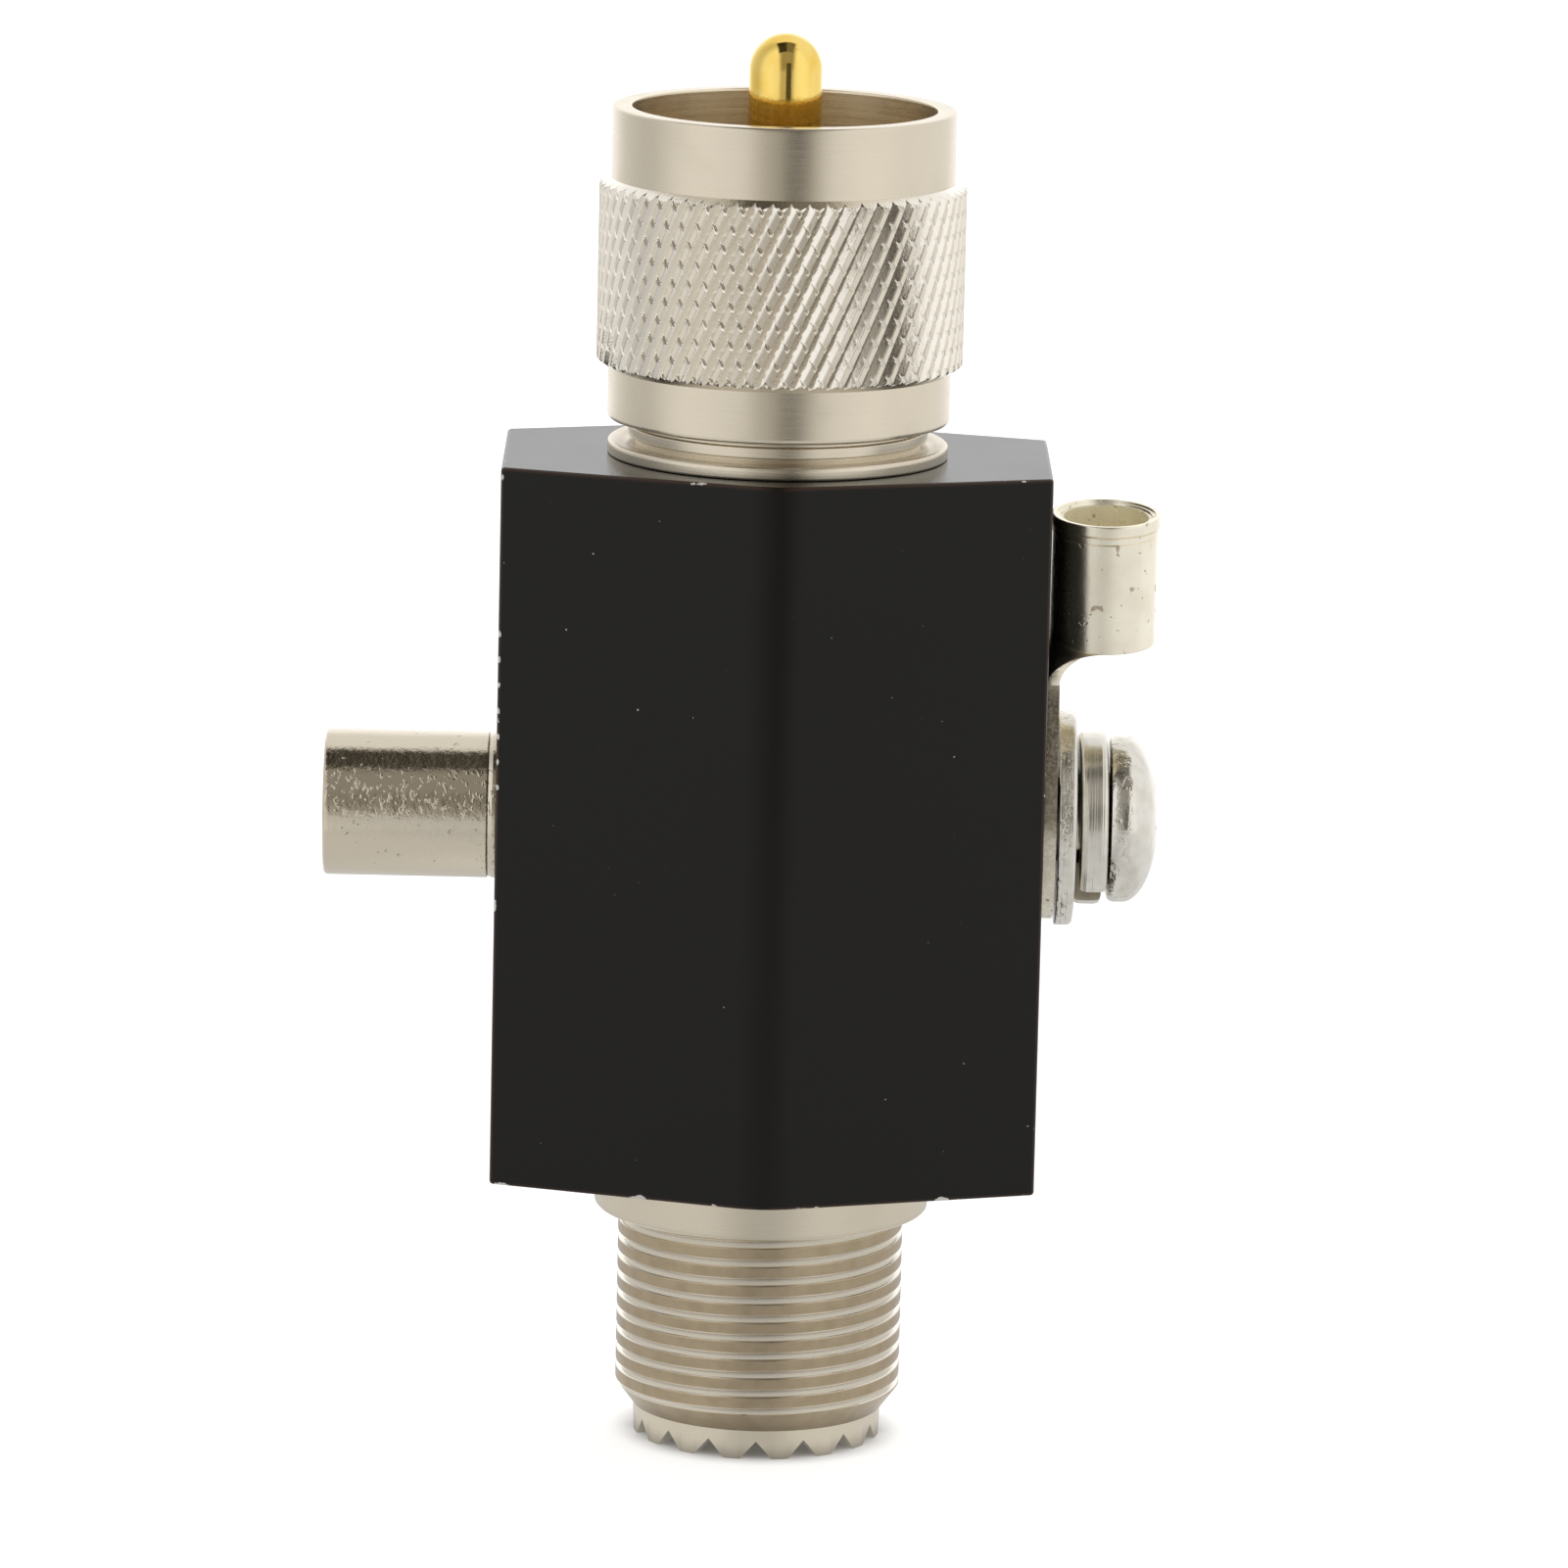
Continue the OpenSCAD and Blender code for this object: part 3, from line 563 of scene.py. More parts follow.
def black_anodised():
    """Satin black with bare metal where the edges and a few spots are chipped."""
    material, t = new_finish("black_anodised")
    place = t.place()
    x, y, z = t.parts(place)
    across = SIDE_X - abs(x)
    plan = ((SIDE_FACE / 2 + across * math.tan(FACE_SLOPE)) - abs(y)) * math.cos(FACE_SLOPE)
    end = (z - BLOCK_LOW.z).least(BLOCK_HIGH.z - z)
    rim = plan.least(across).most(end)
    corner = across + abs(SIDE_FACE / 2 - abs(y))
    edge = rim.least(corner)
    grain = t.noise(place, 14, 3, 0.6)
    cloud = t.noise(place, 0.12, 3)
    spots = None
    for sx, sy, sz, reach in CHIPPED_SPOTS:
        away = t.node("ShaderNodeVectorMath", {"operation": "DISTANCE"}, {0: place, 1: (sx, sy, sz)}, "Value")
        spot = away.rise(0, reach, 1, 0)
        spots = spot if spots is None else spots.most(spot)
    edge_near = edge.rise(0.05, 0.4, 1, 0)
    ragged = t.noise(place, 6, 3, 0.6)
    cells = t.node("ShaderNodeTexVoronoi", {"feature": "F1"}, {"Vector": place, "Scale": 0.9}, "Distance")
    chips = (edge_near * (0.15 + spots * 0.36) - cells - (ragged - 0.5) * 0.4).rise(0, 0.05)
    off = (((z - DOT_START) / DOT_STEP + 0.5).fraction() - 0.5) * DOT_STEP
    dot = ((off * off + corner * corner) ** 0.5 + (ragged - 0.5) * 0.2).rise(0.16, 0.22, 1, 0)
    row = z.rise(DOT_START - 0.7, DOT_START - 0.6) * z.rise(DOT_END, DOT_END + 0.1, 1, 0)
    front_left = x.rise(-0.1, 0.1, 1, 0) * y.rise(-0.1, 0.1, 1, 0)
    specks = t.node("ShaderNodeTexVoronoi", {"feature": "F1"}, {"Vector": place, "Scale": 0.22}, "Distance")
    luck = t.noise(place, 0.22, 1)
    bare = chips.most(specks.rise(0.014, 0.022, 1, 0) * luck.rise(0.5, 0.52)).most(dot * row * front_left)
    worn = edge.rise(0.02, 0.25, 1, 0)
    top = z.rise(BLOCK_HIGH.z - 0.1, BLOCK_HIGH.z - 0.05)
    black = t.tint(worn * 0.7, rgb(0.0062, 0.0054, 0.0034), rgb(0.075, 0.032, 0.018))
    shader = t.node("ShaderNodeBsdfPrincipled", inputs={
        "Base Color": t.tint(bare, black, rgb(0.75, 0.73, 0.69)),
        "Roughness": 0.31 - top * 0.1 + (cloud - 0.5) * 0.08 + bare * 0.2,
        "Metallic": bare * 0.3,
        "Specular IOR Level": 0.24,
        "Normal": t.bump(grain * 0.12 - bare, 0.02),
    })
    t.end(shader)
    return material


def white_insulator():
    material, t = new_finish("white_insulator")
    place = t.place()
    cloud = t.noise(place, 0.6, 4)
    fine = t.noise(place, 6, 3)
    shader = t.node("ShaderNodeBsdfPrincipled", inputs={
        "Base Color": t.tint(cloud.rise(0.35, 0.7), rgb(0.86, 0.85, 0.81), rgb(0.8, 0.79, 0.74)),
        "Roughness": 0.42 + (fine - 0.5) * 0.15,
        "Normal": t.bump(fine, 0.006),
    })
    t.end(shader)
    return material


def white_ceramic():
    material, t = new_finish("white_ceramic")
    place = t.place()
    grain = t.noise(place, 5, 4, 0.6)
    shader = t.node("ShaderNodeBsdfPrincipled", inputs={
        "Base Color": t.tint(grain.rise(0.4, 0.7), rgb(0.88, 0.86, 0.84), rgb(0.82, 0.79, 0.76)),
        "Roughness": 0.5 + (grain - 0.5) * 0.2,
        "Normal": t.bump(grain, 0.008),
    })
    t.end(shader)
    return material


def drawn_wire():
    material, t = new_finish("drawn_wire")
    place = t.place()
    grain = t.noise(place, 6, 3)
    shader = t.node("ShaderNodeBsdfPrincipled", inputs={
        "Base Color": t.tint(grain.rise(0.4, 0.7), rgb(0.52, 0.51, 0.49), rgb(0.42, 0.41, 0.39)),
        "Metallic": 1.0,
        "Roughness": 0.28 + (grain - 0.5) * 0.15,
        "Normal": t.bump(grain, 0.004),
    })
    t.end(shader)
    return material


LINE_NICKEL = turned_nickel("line_nickel", "Z")
NUT_NICKEL = turned_nickel("nut_nickel", "Z", hollow=8.55)
THREAD_NICKEL = threaded_nickel()
KNURL_NICKEL = knurled_nickel()
CAP_NICKEL = pitted_nickel()
TUBE_NICKEL = turned_nickel("tube_nickel", "X")
GOLD = polished_gold()
TIN = tinned_copper()
WASHER_ZINC = zinc_steel("washer_zinc", 0.5, SIDE_X + 0.7, SIDE_X + 1.6)
HEAD_TOP = span("ground_screw")[1].x
SCREW_ZINC = zinc_steel("screw_zinc", 0.03, HEAD_TOP - 2.9, HEAD_TOP - 1.5)
BLACK = black_anodised()
INSULATOR = white_insulator()
CERAMIC = white_ceramic()
WIRE = drawn_wire()

# The body


def ridge_side():
    """Half of the body's outline: a sloping face each side of a rounded ridge."""
    half = SIDE_FACE / 2
    apex = half + SIDE_X * math.tan(FACE_SLOPE)
    slope = math.degrees(FACE_SLOPE)
    centre = (0, apex - RIDGE_RADIUS / math.cos(FACE_SLOPE))
    return [(SIDE_X, half)] + arc(centre, RIDGE_RADIUS, 90 - slope, 90 + slope, 24) + [(-SIDE_X, half)]


def solid_tool(name, bm):
    """An object in metres from a mesh in millimetres, for a cut."""
    bmesh.ops.recalc_face_normals(bm, faces=bm.faces)
    bmesh.ops.scale(bm, vec=(MM, MM, MM), verts=bm.verts)
    mesh = bpy.data.meshes.new(name)
    bm.to_mesh(mesh)
    bm.free()
    tool = bpy.data.objects.new(name, mesh)
    bpy.context.scene.collection.objects.link(tool)
    return tool


def carve(thing, tool, smooth=SMOOTH_ANGLE):
    """Takes a tool's solid out of a piece and clears the tool away."""
    cut = thing.modifiers.new("cut", "BOOLEAN")
    cut.operation = "DIFFERENCE"
    cut.solver = "EXACT"
    cut.use_self = True
    cut.object = tool
    ready = thing.evaluated_get(bpy.context.evaluated_depsgraph_get())
    carved = bpy.data.meshes.new_from_object(ready)
    thing.modifiers.clear()
    thing.data = carved
    carved.set_sharp_from_angle(angle=smooth)
    bpy.data.objects.remove(tool)


def bores(holes):
    """A tool of cylinders (radius, start, end, turn)."""
    bm = bmesh.new()
    for radius, start, end, turn in holes:
        cylinder(bm, radius, start, end, turn)
    return solid_tool("bores", bm)


def make_block():
    front = ridge_side()
    outline = front + [(-x, -y) for x, y in front]
    bm = bmesh.new()
    base = bm.faces.new(loop_of(bm, [(x, y, BLOCK_LOW.z) for x, y in outline])[0])
    risen = bmesh.ops.extrude_face_region(bm, geom=[base])["geom"]
    lifted = [v for v in risen if isinstance(v, bmesh.types.BMVert)]
    bmesh.ops.translate(bm, vec=(0, 0, BLOCK_HIGH.z - BLOCK_LOW.z), verts=lifted)
    bmesh.ops.recalc_face_normals(bm, faces=bm.faces)
    soften(bm, sharp_edges(bm, 40), 0.18)
    block = piece(bm, "block", "arrestor_body", BLACK, ["body_block"], None, CRISP_ANGLE)
    cap_mouth = -span("gas_tube_cap")[1].x
    past = SIDE_X + 1
    carve(block, bores([
        (CAP_HOLE, cap_mouth - 0.2, past, TO_TUBE),
        (GROUND_HOLE, SIDE_X - GROUND_HOLE_DEPTH, past, TO_GROUND),
    ]), CRISP_ANGLE)


make_block()

# The plug

PLUG_HIGH = span("plug_body")[1]
NUT_LOW, NUT_HIGH = span("coupling_nut")
PIN_LOW, PIN_HIGH = span("centre_pin")
TOP_Z = BLOCK_HIGH.z
NECK_RADIUS = THREAD_RADIUS + 0.37
NECK_TOP = TOP_Z + 5.5
SLEEVE_RADIUS = 6.83
SLEEVE_BORE = 5.53
KEY_WIDTH = 1.5
KEY_HEIGHT = 0.8
PIN_RADIUS = 2
PIN_ROOT = 2.25
PIN_COLLAR = 3.58
PIN_TAIL = 1.25


def make_plug_body():
    flange_r = PLUG_HIGH.x
    front = PLUG_HIGH.z - KEY_HEIGHT
    spigot_end = TOP_Z - SPIGOT_LENGTH
    seat = TOP_Z + INSULATOR_SEAT
    flange_top = TOP_Z + 0.75
    # Above the flange lie a groove, a low ring and a fine line
    groove_low = flange_top - 0.08
    groove_r = NECK_RADIUS - 0.45
    ring_low = flange_top + 0.25
    ring_high = flange_top + 0.85
    ring_r = NECK_RADIUS - 0.08
    line_r = NECK_RADIUS - 0.2
    bm = bmesh.new()
    turned(bm, rounded([
        (LINE_BORE, spigot_end, 0), (SPIGOT_RADIUS, spigot_end, 0.3), (SPIGOT_RADIUS, TOP_Z, 0),
        (flange_r, TOP_Z, 0.12), (flange_r, flange_top, 0.22), (NECK_RADIUS + 0.25, flange_top, 0),
        (NECK_RADIUS + 0.1, groove_low, 0), (groove_r, groove_low, 0), (groove_r, ring_low, 0),
        (ring_r, ring_low, 0.08), (ring_r, ring_high, 0.06), (line_r, ring_high + 0.07, 0),
        (line_r, ring_high + 0.17, 0), (NECK_RADIUS, ring_high + 0.2, 0.05),
        (NECK_RADIUS, NECK_TOP, 0.15), (SLEEVE_RADIUS, NECK_TOP, 0.1), (SLEEVE_RADIUS, front, 0.15),
        (SLEEVE_BORE, front, 0.15), (SLEEVE_BORE, seat, 0), (LINE_BORE, seat, 0),
    ]))
    for side in (1, -1):
        made = bmesh.ops.create_cube(bm, size=1)["verts"]
        bmesh.ops.scale(bm, vec=(KEY_WIDTH, SLEEVE_RADIUS - SLEEVE_BORE - 0.1, 2 * KEY_HEIGHT), verts=made)
        bmesh.ops.translate(bm, vec=(0, side * (SLEEVE_RADIUS + SLEEVE_BORE) / 2, front), verts=made)
        edges = {e for v in made for e in v.link_edges}
        soften(bm, list(edges), 0.15)
    piece(bm, "plug_shell", "arrestor_body", LINE_NICKEL, ["plug_body"])


def make_centre_pin():
    nose = arc((0, PIN_HIGH.z - PIN_RADIUS), PIN_RADIUS, 0, 90, 20)
    root = PLUG_HIGH.z - KEY_HEIGHT - 1.2
    collar_low = PIN_LOW.z + 5
    collar_high = collar_low + 1
    bm = bmesh.new()
    turned(bm, [
        (0, PIN_LOW.z), (PIN_TAIL, PIN_LOW.z), (PIN_TAIL, collar_low), (PIN_COLLAR, collar_low),
        (PIN_COLLAR, collar_high), (PIN_ROOT, collar_high), (PIN_ROOT, root), (PIN_RADIUS, root),
    ] + nose, 96)
    piece(bm, "gold_pin", "arrestor_body", GOLD, ["centre_pin"])


make_plug_body()
make_centre_pin()

# The coupling nut

NUT_RADIUS = 9.4
NUT_MOUTH = THREAD_RADIUS + 0.4
NUT_BORE = NECK_RADIUS + 0.08
MOUTH_Z = NUT_HIGH.z - 3.2
THREAD_ROOM = THREAD_RADIUS + 0.25
NUT_SHOULDER = 7.6
NUT_THREAD_DEPTH = 0.5
KNURL_LOW = NUT_LOW.z + 2.85
KNURL_HIGH = KNURL_LOW + 10.4
KNURL_RADIUS = NUT_HIGH.x
KNURL_STARTS = 62
KNURL_LEAN = math.radians(26)
# Depth, and width before and after the bottom as shares of the spacing, of the strong and the weak grooves
STRONG_GROOVE = (0.3, 0.25, 0.45)
WEAK_GROOVE = (0.13, 0.14, 0.17)
STRONG_STOPS = (0, 0.15, 0.3, 0.38, 0.45, 0.6, 0.75, 0.84, 0.92, 1)
WEAK_STOPS = (0, 0.085, 0.17, 0.4, 0.63, 0.86, 0.93, 1)


def groove(phase, depth, before, after):
    """Depth of a V-shaped groove, with its bottom at every whole number of the phase."""
    off = phase - math.floor(phase)
    return depth * max(0, 1 - off / after, 1 - (1 - off) / before)


def make_nut():
    low, high = NUT_LOW.z, NUT_HIGH.z
    bm = bmesh.new()
    turned(bm, rounded([
        (NUT_BORE, low, 0.08), (NUT_RADIUS, low, 0.22), (NUT_RADIUS, KNURL_LOW + 0.5, 0),
        (NUT_RADIUS, KNURL_HIGH - 0.5, 0), (NUT_RADIUS, high, 0.2), (NUT_MOUTH, high, 0.14),
        (NUT_MOUTH, MOUTH_Z, 0.05), (THREAD_ROOM, MOUTH_Z - 0.1, 0), (THREAD_ROOM, NECK_TOP + 0.6, 0),
        (NUT_SHOULDER, NECK_TOP + 0.5, 0), (NUT_SHOULDER, NECK_TOP + 0.02, 0.05),
        (NUT_BORE, NECK_TOP + 0.02, 0),
    ]))
    piece(bm, "nut_shell", "coupling_nut", NUT_NICKEL, ["coupling_nut"])

    bm = bmesh.new()
    inner_r = THREAD_RADIUS - NUT_THREAD_DEPTH
    outside = thread_outline(THREAD_RADIUS, inner_r, THREAD_PITCH, 0.4, 0.06)
    inside = [(THREAD_RADIUS + inner_r - r, z) for r, z in outside]
    threaded(bm, inside, THREAD_PITCH, THREAD_ROOM + 0.1, NECK_TOP + 0.4, MOUTH_Z - 0.2)
    piece(bm, "nut_thread", "coupling_nut", NUT_NICKEL)


def make_knurl():
    """A band cut by two sets of crossing grooves: one strip along a strong groove, repeated all round."""
    length = KNURL_HIGH - KNURL_LOW
    step = math.tau / KNURL_STARTS
    rise = step * KNURL_RADIUS / math.tan(KNURL_LEAN) / 2
    cells = math.ceil(length / rise) + 2
    weak_stops = [k - 1 + w for k in range(cells) for w in WEAK_STOPS[:-1]] + [cells - 1]
    bm = bmesh.new()
    bmesh.ops.create_grid(bm, x_segments=len(STRONG_STOPS) - 1, y_segments=len(weak_stops) - 1, size=0.5)
    for v in bm.verts:
        strong = STRONG_STOPS[round((v.co.x + 0.5) * (len(STRONG_STOPS) - 1))]
        weak = weak_stops[round((v.co.y + 0.5) * (len(weak_stops) - 1))]
        cut = max(groove(strong, *STRONG_GROOVE), groove(weak, *WEAK_GROOVE))
        v.co = (KNURL_RADIUS - cut, step * (strong + weak) / 2, (weak - strong) * rise)
    bmesh.ops.triangulate(bm, faces=bm.faces)
    # Cut to length, with rows of points where the chamfers of the ends begin and stop
    for height, up in ((0, -1), (length, 1), (0.3, 0), (0.52, 0), (length - 0.52, 0), (length - 0.3, 0)):
        bmesh.ops.bisect_plane(
            bm, geom=bm.verts[:] + bm.edges[:] + bm.faces[:], dist=WELD,
            plane_co=(0, 0, height), plane_no=(0, 0, up or 1), clear_outer=up != 0,
        )
    for v in bm.verts:
        radius, angle, up = v.co
        radius = min(radius, NUT_RADIUS + 0.05 + min(up, length - up) * 1.45)
        v.co = (radius * math.cos(angle), radius * math.sin(angle), KNURL_LOW + up)
    bmesh.ops.spin(
        bm, geom=bm.verts[:] + bm.edges[:] + bm.faces[:], cent=(0, 0, 0), axis=(0, 0, 1),
        angle=math.tau - step, steps=KNURL_STARTS - 1, use_duplicate=True,
    )
    bmesh.ops.remove_doubles(bm, verts=bm.verts, dist=LOOSE_WELD)
    rim = [e for e in bm.edges if e.is_boundary]
    made = bmesh.ops.extrude_edge_only(bm, edges=rim)["geom"]
    for v in made:
        if isinstance(v, bmesh.types.BMVert):
            v.co.xy *= (NUT_RADIUS - 0.3) / v.co.xy.length
    inner = [e for e in made if isinstance(e, bmesh.types.BMEdge) and e.is_boundary]
    bmesh.ops.bridge_loops(bm, edges=inner)
    piece(bm, "nut_knurl", "coupling_nut", KNURL_NICKEL, (), None, CRISP_ANGLE)


make_nut()
make_knurl()

# The socket

SOCKET_HIGH = span("socket_shell")[1]
SOCKET_BORE = 5.83
SOCKET_THREAD_DEPTH = 0.36
FLANGE_Z = 13.0
TEETH = 16
NOTCH_WIDTH = 1.75
NOTCH_DEPTH = 1.0


def make_tooth_ring():
    """A short ring whose lower edge has V-shaped notches."""
    pitch = math.tau / TEETH
    bm = bmesh.new()
    loops = []
    rims = ((TOOTH_RADIUS, True), (TOOTH_RADIUS, False), (SOCKET_BORE, False), (SOCKET_BORE, True))
    for radius, notched in rims:
        half = math.asin(NOTCH_WIDTH / 2 / radius)
        points = []
        for i in range(TEETH):
            middle = -math.pi / 2 + i * pitch
            stops = [(0, NOTCH_DEPTH), (half, 0), ((half + pitch / 2) / 2, 0), (pitch / 2, 0)]
            stops += [(pitch - a, z) for a, z in reversed(stops[1:-1])]
            for angle, z in stops:
                height = z if notched else TOOTH_TOP + 0.3
                points.append((radius * math.cos(middle + angle), radius * math.sin(middle + angle), height))
        loops.append(loop_of(bm, points)[1])
    for first, second in zip(loops, loops[1:] + loops[:1]):
        bmesh.ops.bridge_loops(bm, edges=first + second)
    bmesh.ops.recalc_face_normals(bm, faces=bm.faces)
    low = [e for e in sharp_edges(bm, 30) if min(v.co.z for v in e.verts) < TOOTH_TOP - 0.1]
    soften(bm, low, 0.05)
    return bm


def make_socket():
    piece(make_tooth_ring(), "socket_teeth", "arrestor_body", LINE_NICKEL)

    bm = bmesh.new()
    outline = thread_outline(THREAD_RADIUS, THREAD_RADIUS - SOCKET_THREAD_DEPTH, THREAD_PITCH, 0.62, 0.13)
    threaded(bm, outline, THREAD_PITCH, SOCKET_BORE, TOOTH_TOP, FLANGE_Z + 0.1, lead_radius, 128)
    piece(bm, "socket_thread", "arrestor_body", THREAD_NICKEL)

    bm = bmesh.new()
    flange_r = SOCKET_HIGH.x
    seat = BLOCK_LOW.z + INSULATOR_SEAT
    turned(bm, rounded([
        (SOCKET_BORE, FLANGE_Z, 0), (flange_r, FLANGE_Z, 0.25), (flange_r, BLOCK_LOW.z, 0.05),
        (SPIGOT_RADIUS, BLOCK_LOW.z, 0), (SPIGOT_RADIUS, SOCKET_HIGH.z, 0.3), (LINE_BORE, SOCKET_HIGH.z, 0),
        (LINE_BORE, seat, 0), (SOCKET_BORE, seat, 0),
    ]))
    piece(bm, "socket_flange", "arrestor_body", LINE_NICKEL, ["socket_shell"])


make_socket()

# The gas tube's cap


def make_cap():
    low, high = span("gas_tube_cap")
    radius = (high.z - low.z) / 2
    end = -low.x
    mouth = -high.x
    foot = SIDE_X + 0.02
    collar = foot + 0.25
    step = collar + 0.28
    bore_end = SIDE_X - 0.5
    bm = bmesh.new()
    turned(bm, rounded([
        (CAP_BORE, mouth, 0), (CAP_STEM, mouth, 0.1), (CAP_STEM, foot, 0), (radius, foot, 0.08),
        (radius, collar, 0.04), (radius - 0.1, step - 0.01, 0), (radius, step, 0.03), (radius, end, 0.28),
        (0, end, 0), (0, bore_end, 0), (CAP_BORE, bore_end, 0),
    ]), 128)
    piece(bm, "tube_cap", "gas_tube_cap", CAP_NICKEL, ["gas_tube_cap"], TO_TUBE)

    bm = bmesh.new()
    outline = thread_outline(CAP_STEM + 0.25, CAP_STEM - 0.15, CAP_PITCH, 0.25, 0.05)
    threaded(bm, outline, CAP_PITCH, CAP_STEM - 0.35, mouth + 0.1, foot + 0.05, None, 64)
    piece(bm, "tube_cap_thread", "gas_tube_cap", TUBE_NICKEL, (), TO_TUBE)


make_cap()

# The ground terminal

LUG_PLACE = Matrix.Translation((SIDE_X + 0.02, 0, CROSS_Z)) @ Matrix.Rotation(LUG_LEAN, 4, "X")
FLARE_LOW = BARREL_LOW - FLARE_HEIGHT
# Angle of the tongue's sides, which run at a tangent from the round end to the neck
SIDE_LEAN = math.atan2(BARREL_LOW, NECK_HALF) - math.acos(LUG_END_RADIUS / math.hypot(NECK_HALF, BARREL_LOW))


def tongue_half(z):
    """Half of the tongue's width at a height above its round end."""
    return NECK_HALF + (BARREL_LOW - z) * math.tan(SIDE_LEAN)


def between(start, end, steps):
    """Points from start up to, and without, end."""
    return [tuple(Vector(start).lerp(Vector(end), i / steps)) for i in range(steps)]


def make_tongue():
    """A plate with a round end and a hole, that runs a little way into the flare."""
    top = FLARE_LOW + 0.25
    corner = (tongue_half(top), top)
    across = (-corner[0], top)
    lean = math.degrees(SIDE_LEAN)
    bottom = arc((0, 0), LUG_END_RADIUS, 180 - lean, 360 + lean, 120)
    outline = between(corner, across, 10) + between(across, bottom[0], 14) + bottom[:-1]
    outline += between(bottom[-1], corner, 14)
    bm = bmesh.new()
    angles = [math.atan2(z, y) for y, z in outline]
    loops = []
    for x in (0, LUG_THICK):
        loops.append(loop_of(bm, [(x, y, z) for y, z in outline])[1])
        hole = [(x, LUG_HOLE * math.cos(a), LUG_HOLE * math.sin(a)) for a in angles]
        loops.append(loop_of(bm, hole)[1])
    for first, second in ((0, 1), (1, 3), (3, 2), (2, 0)):
        bmesh.ops.bridge_loops(bm, edges=loops[first] + loops[second])
    bmesh.ops.recalc_face_normals(bm, faces=bm.faces)
    soften(bm, sharp_edges(bm, 50), 0.08)
    sheared = bm.faces.layers.float.new(SHEARED)
    for face in bm.faces:
        face[sheared] = abs(face.normal.x) < 0.3
    piece(bm, "lug_tongue", "ground_lug", TIN, ["ground_lug"], LUG_PLACE, CRISP_ANGLE)


def make_flare():
    """A sheet that bends from the flat tongue into the near half of the barrel."""
    across = 28
    along = 18
    rounds = [math.radians(180 * i / across - 90) for i in range(across + 1)]
    # Each point: the side's angle, the flat plate's depth and the tube's radius
    ring = [(a, 0.01, BARREL_RADIUS - 0.02) for a in rounds]
    ring += [(a, LUG_THICK - 0.01, BARREL_BORE + 0.02) for a in reversed(rounds)]
    ring.append(ring[0])
    bm = bmesh.new()
    bmesh.ops.create_grid(bm, x_segments=len(ring) - 1, y_segments=along, size=0.5)
    for v in bm.verts:
        angle, depth, radius = ring[round((v.co.x + 0.5) * (len(ring) - 1))]
        part = v.co.y + 0.5
        bend = part * math.pi / 2
        rim = abs(math.sin(angle)) ** 3
        middle = part * part * (3 - 2 * part)
        up = (FLARE_HEIGHT + 0.02) * math.sin(bend) * rim + (FLARE_HEIGHT + 0.5) * part * (1 - rim)
        share = (1 - math.cos(bend)) * rim + middle * (1 - rim)
        flat = Vector((depth, tongue_half(FLARE_LOW) * math.sin(angle)))
        tube = Vector((BARREL_X - radius * math.cos(angle), radius * math.sin(angle)))
        x, y = flat.lerp(tube, share)
        v.co = (x, y, FLARE_LOW + up)
    bmesh.ops.remove_doubles(bm, verts=bm.verts, dist=WELD)
    bmesh.ops.recalc_face_normals(bm, faces=bm.faces)
    soften(bm, sharp_edges(bm, 50), 0.07)
    bmesh.ops.holes_fill(bm, edges=[e for e in bm.edges if e.is_boundary])
    piece(bm, "lug_flare", "ground_lug", TIN, (), LUG_PLACE)


def make_barrel():
    """A tube with a lip, two fine lines below it and a mouth that opens in small steps."""
    top = BARREL_HIGH
    lip = BARREL_RADIUS + 0.08
    line_r = BARREL_RADIUS - 0.05
    ring_r = BARREL_RADIUS + 0.02
    corners = [
        (BARREL_BORE, BARREL_LOW, 0.1), (BARREL_RADIUS, BARREL_LOW, 0.1), (BARREL_RADIUS, top - 1.12, 0),
        (line_r, top - 1.07, 0), (ring_r, top - 1.02, 0.02), (ring_r, top - 0.72, 0.02),
        (line_r, top - 0.66, 0), (lip, top - 0.6, 0.05), (lip, top, 0.1),
    ]
    corners += [(radius, top - depth, edge) for radius, depth, edge in MOUTH_STEPS]
    corners.append((BARREL_BORE, top - MOUTH_DEPTH, 0.05))
    bm = bmesh.new()
    turned(bm, rounded(corners), 128)
    place = LUG_PLACE @ Matrix.Translation((BARREL_X, 0, 0))
    piece(bm, "lug_barrel", "ground_lug", TIN, (), place)


WASHER_LOW, WASHER_HIGH = span("flat_washer")
SPRING_LOW, SPRING_HIGH = span("spring_washer")
SCREW_LOW, SCREW_HIGH = span("ground_screw")
SPLIT_ANGLE = 14
SPLIT_PLACE = -35


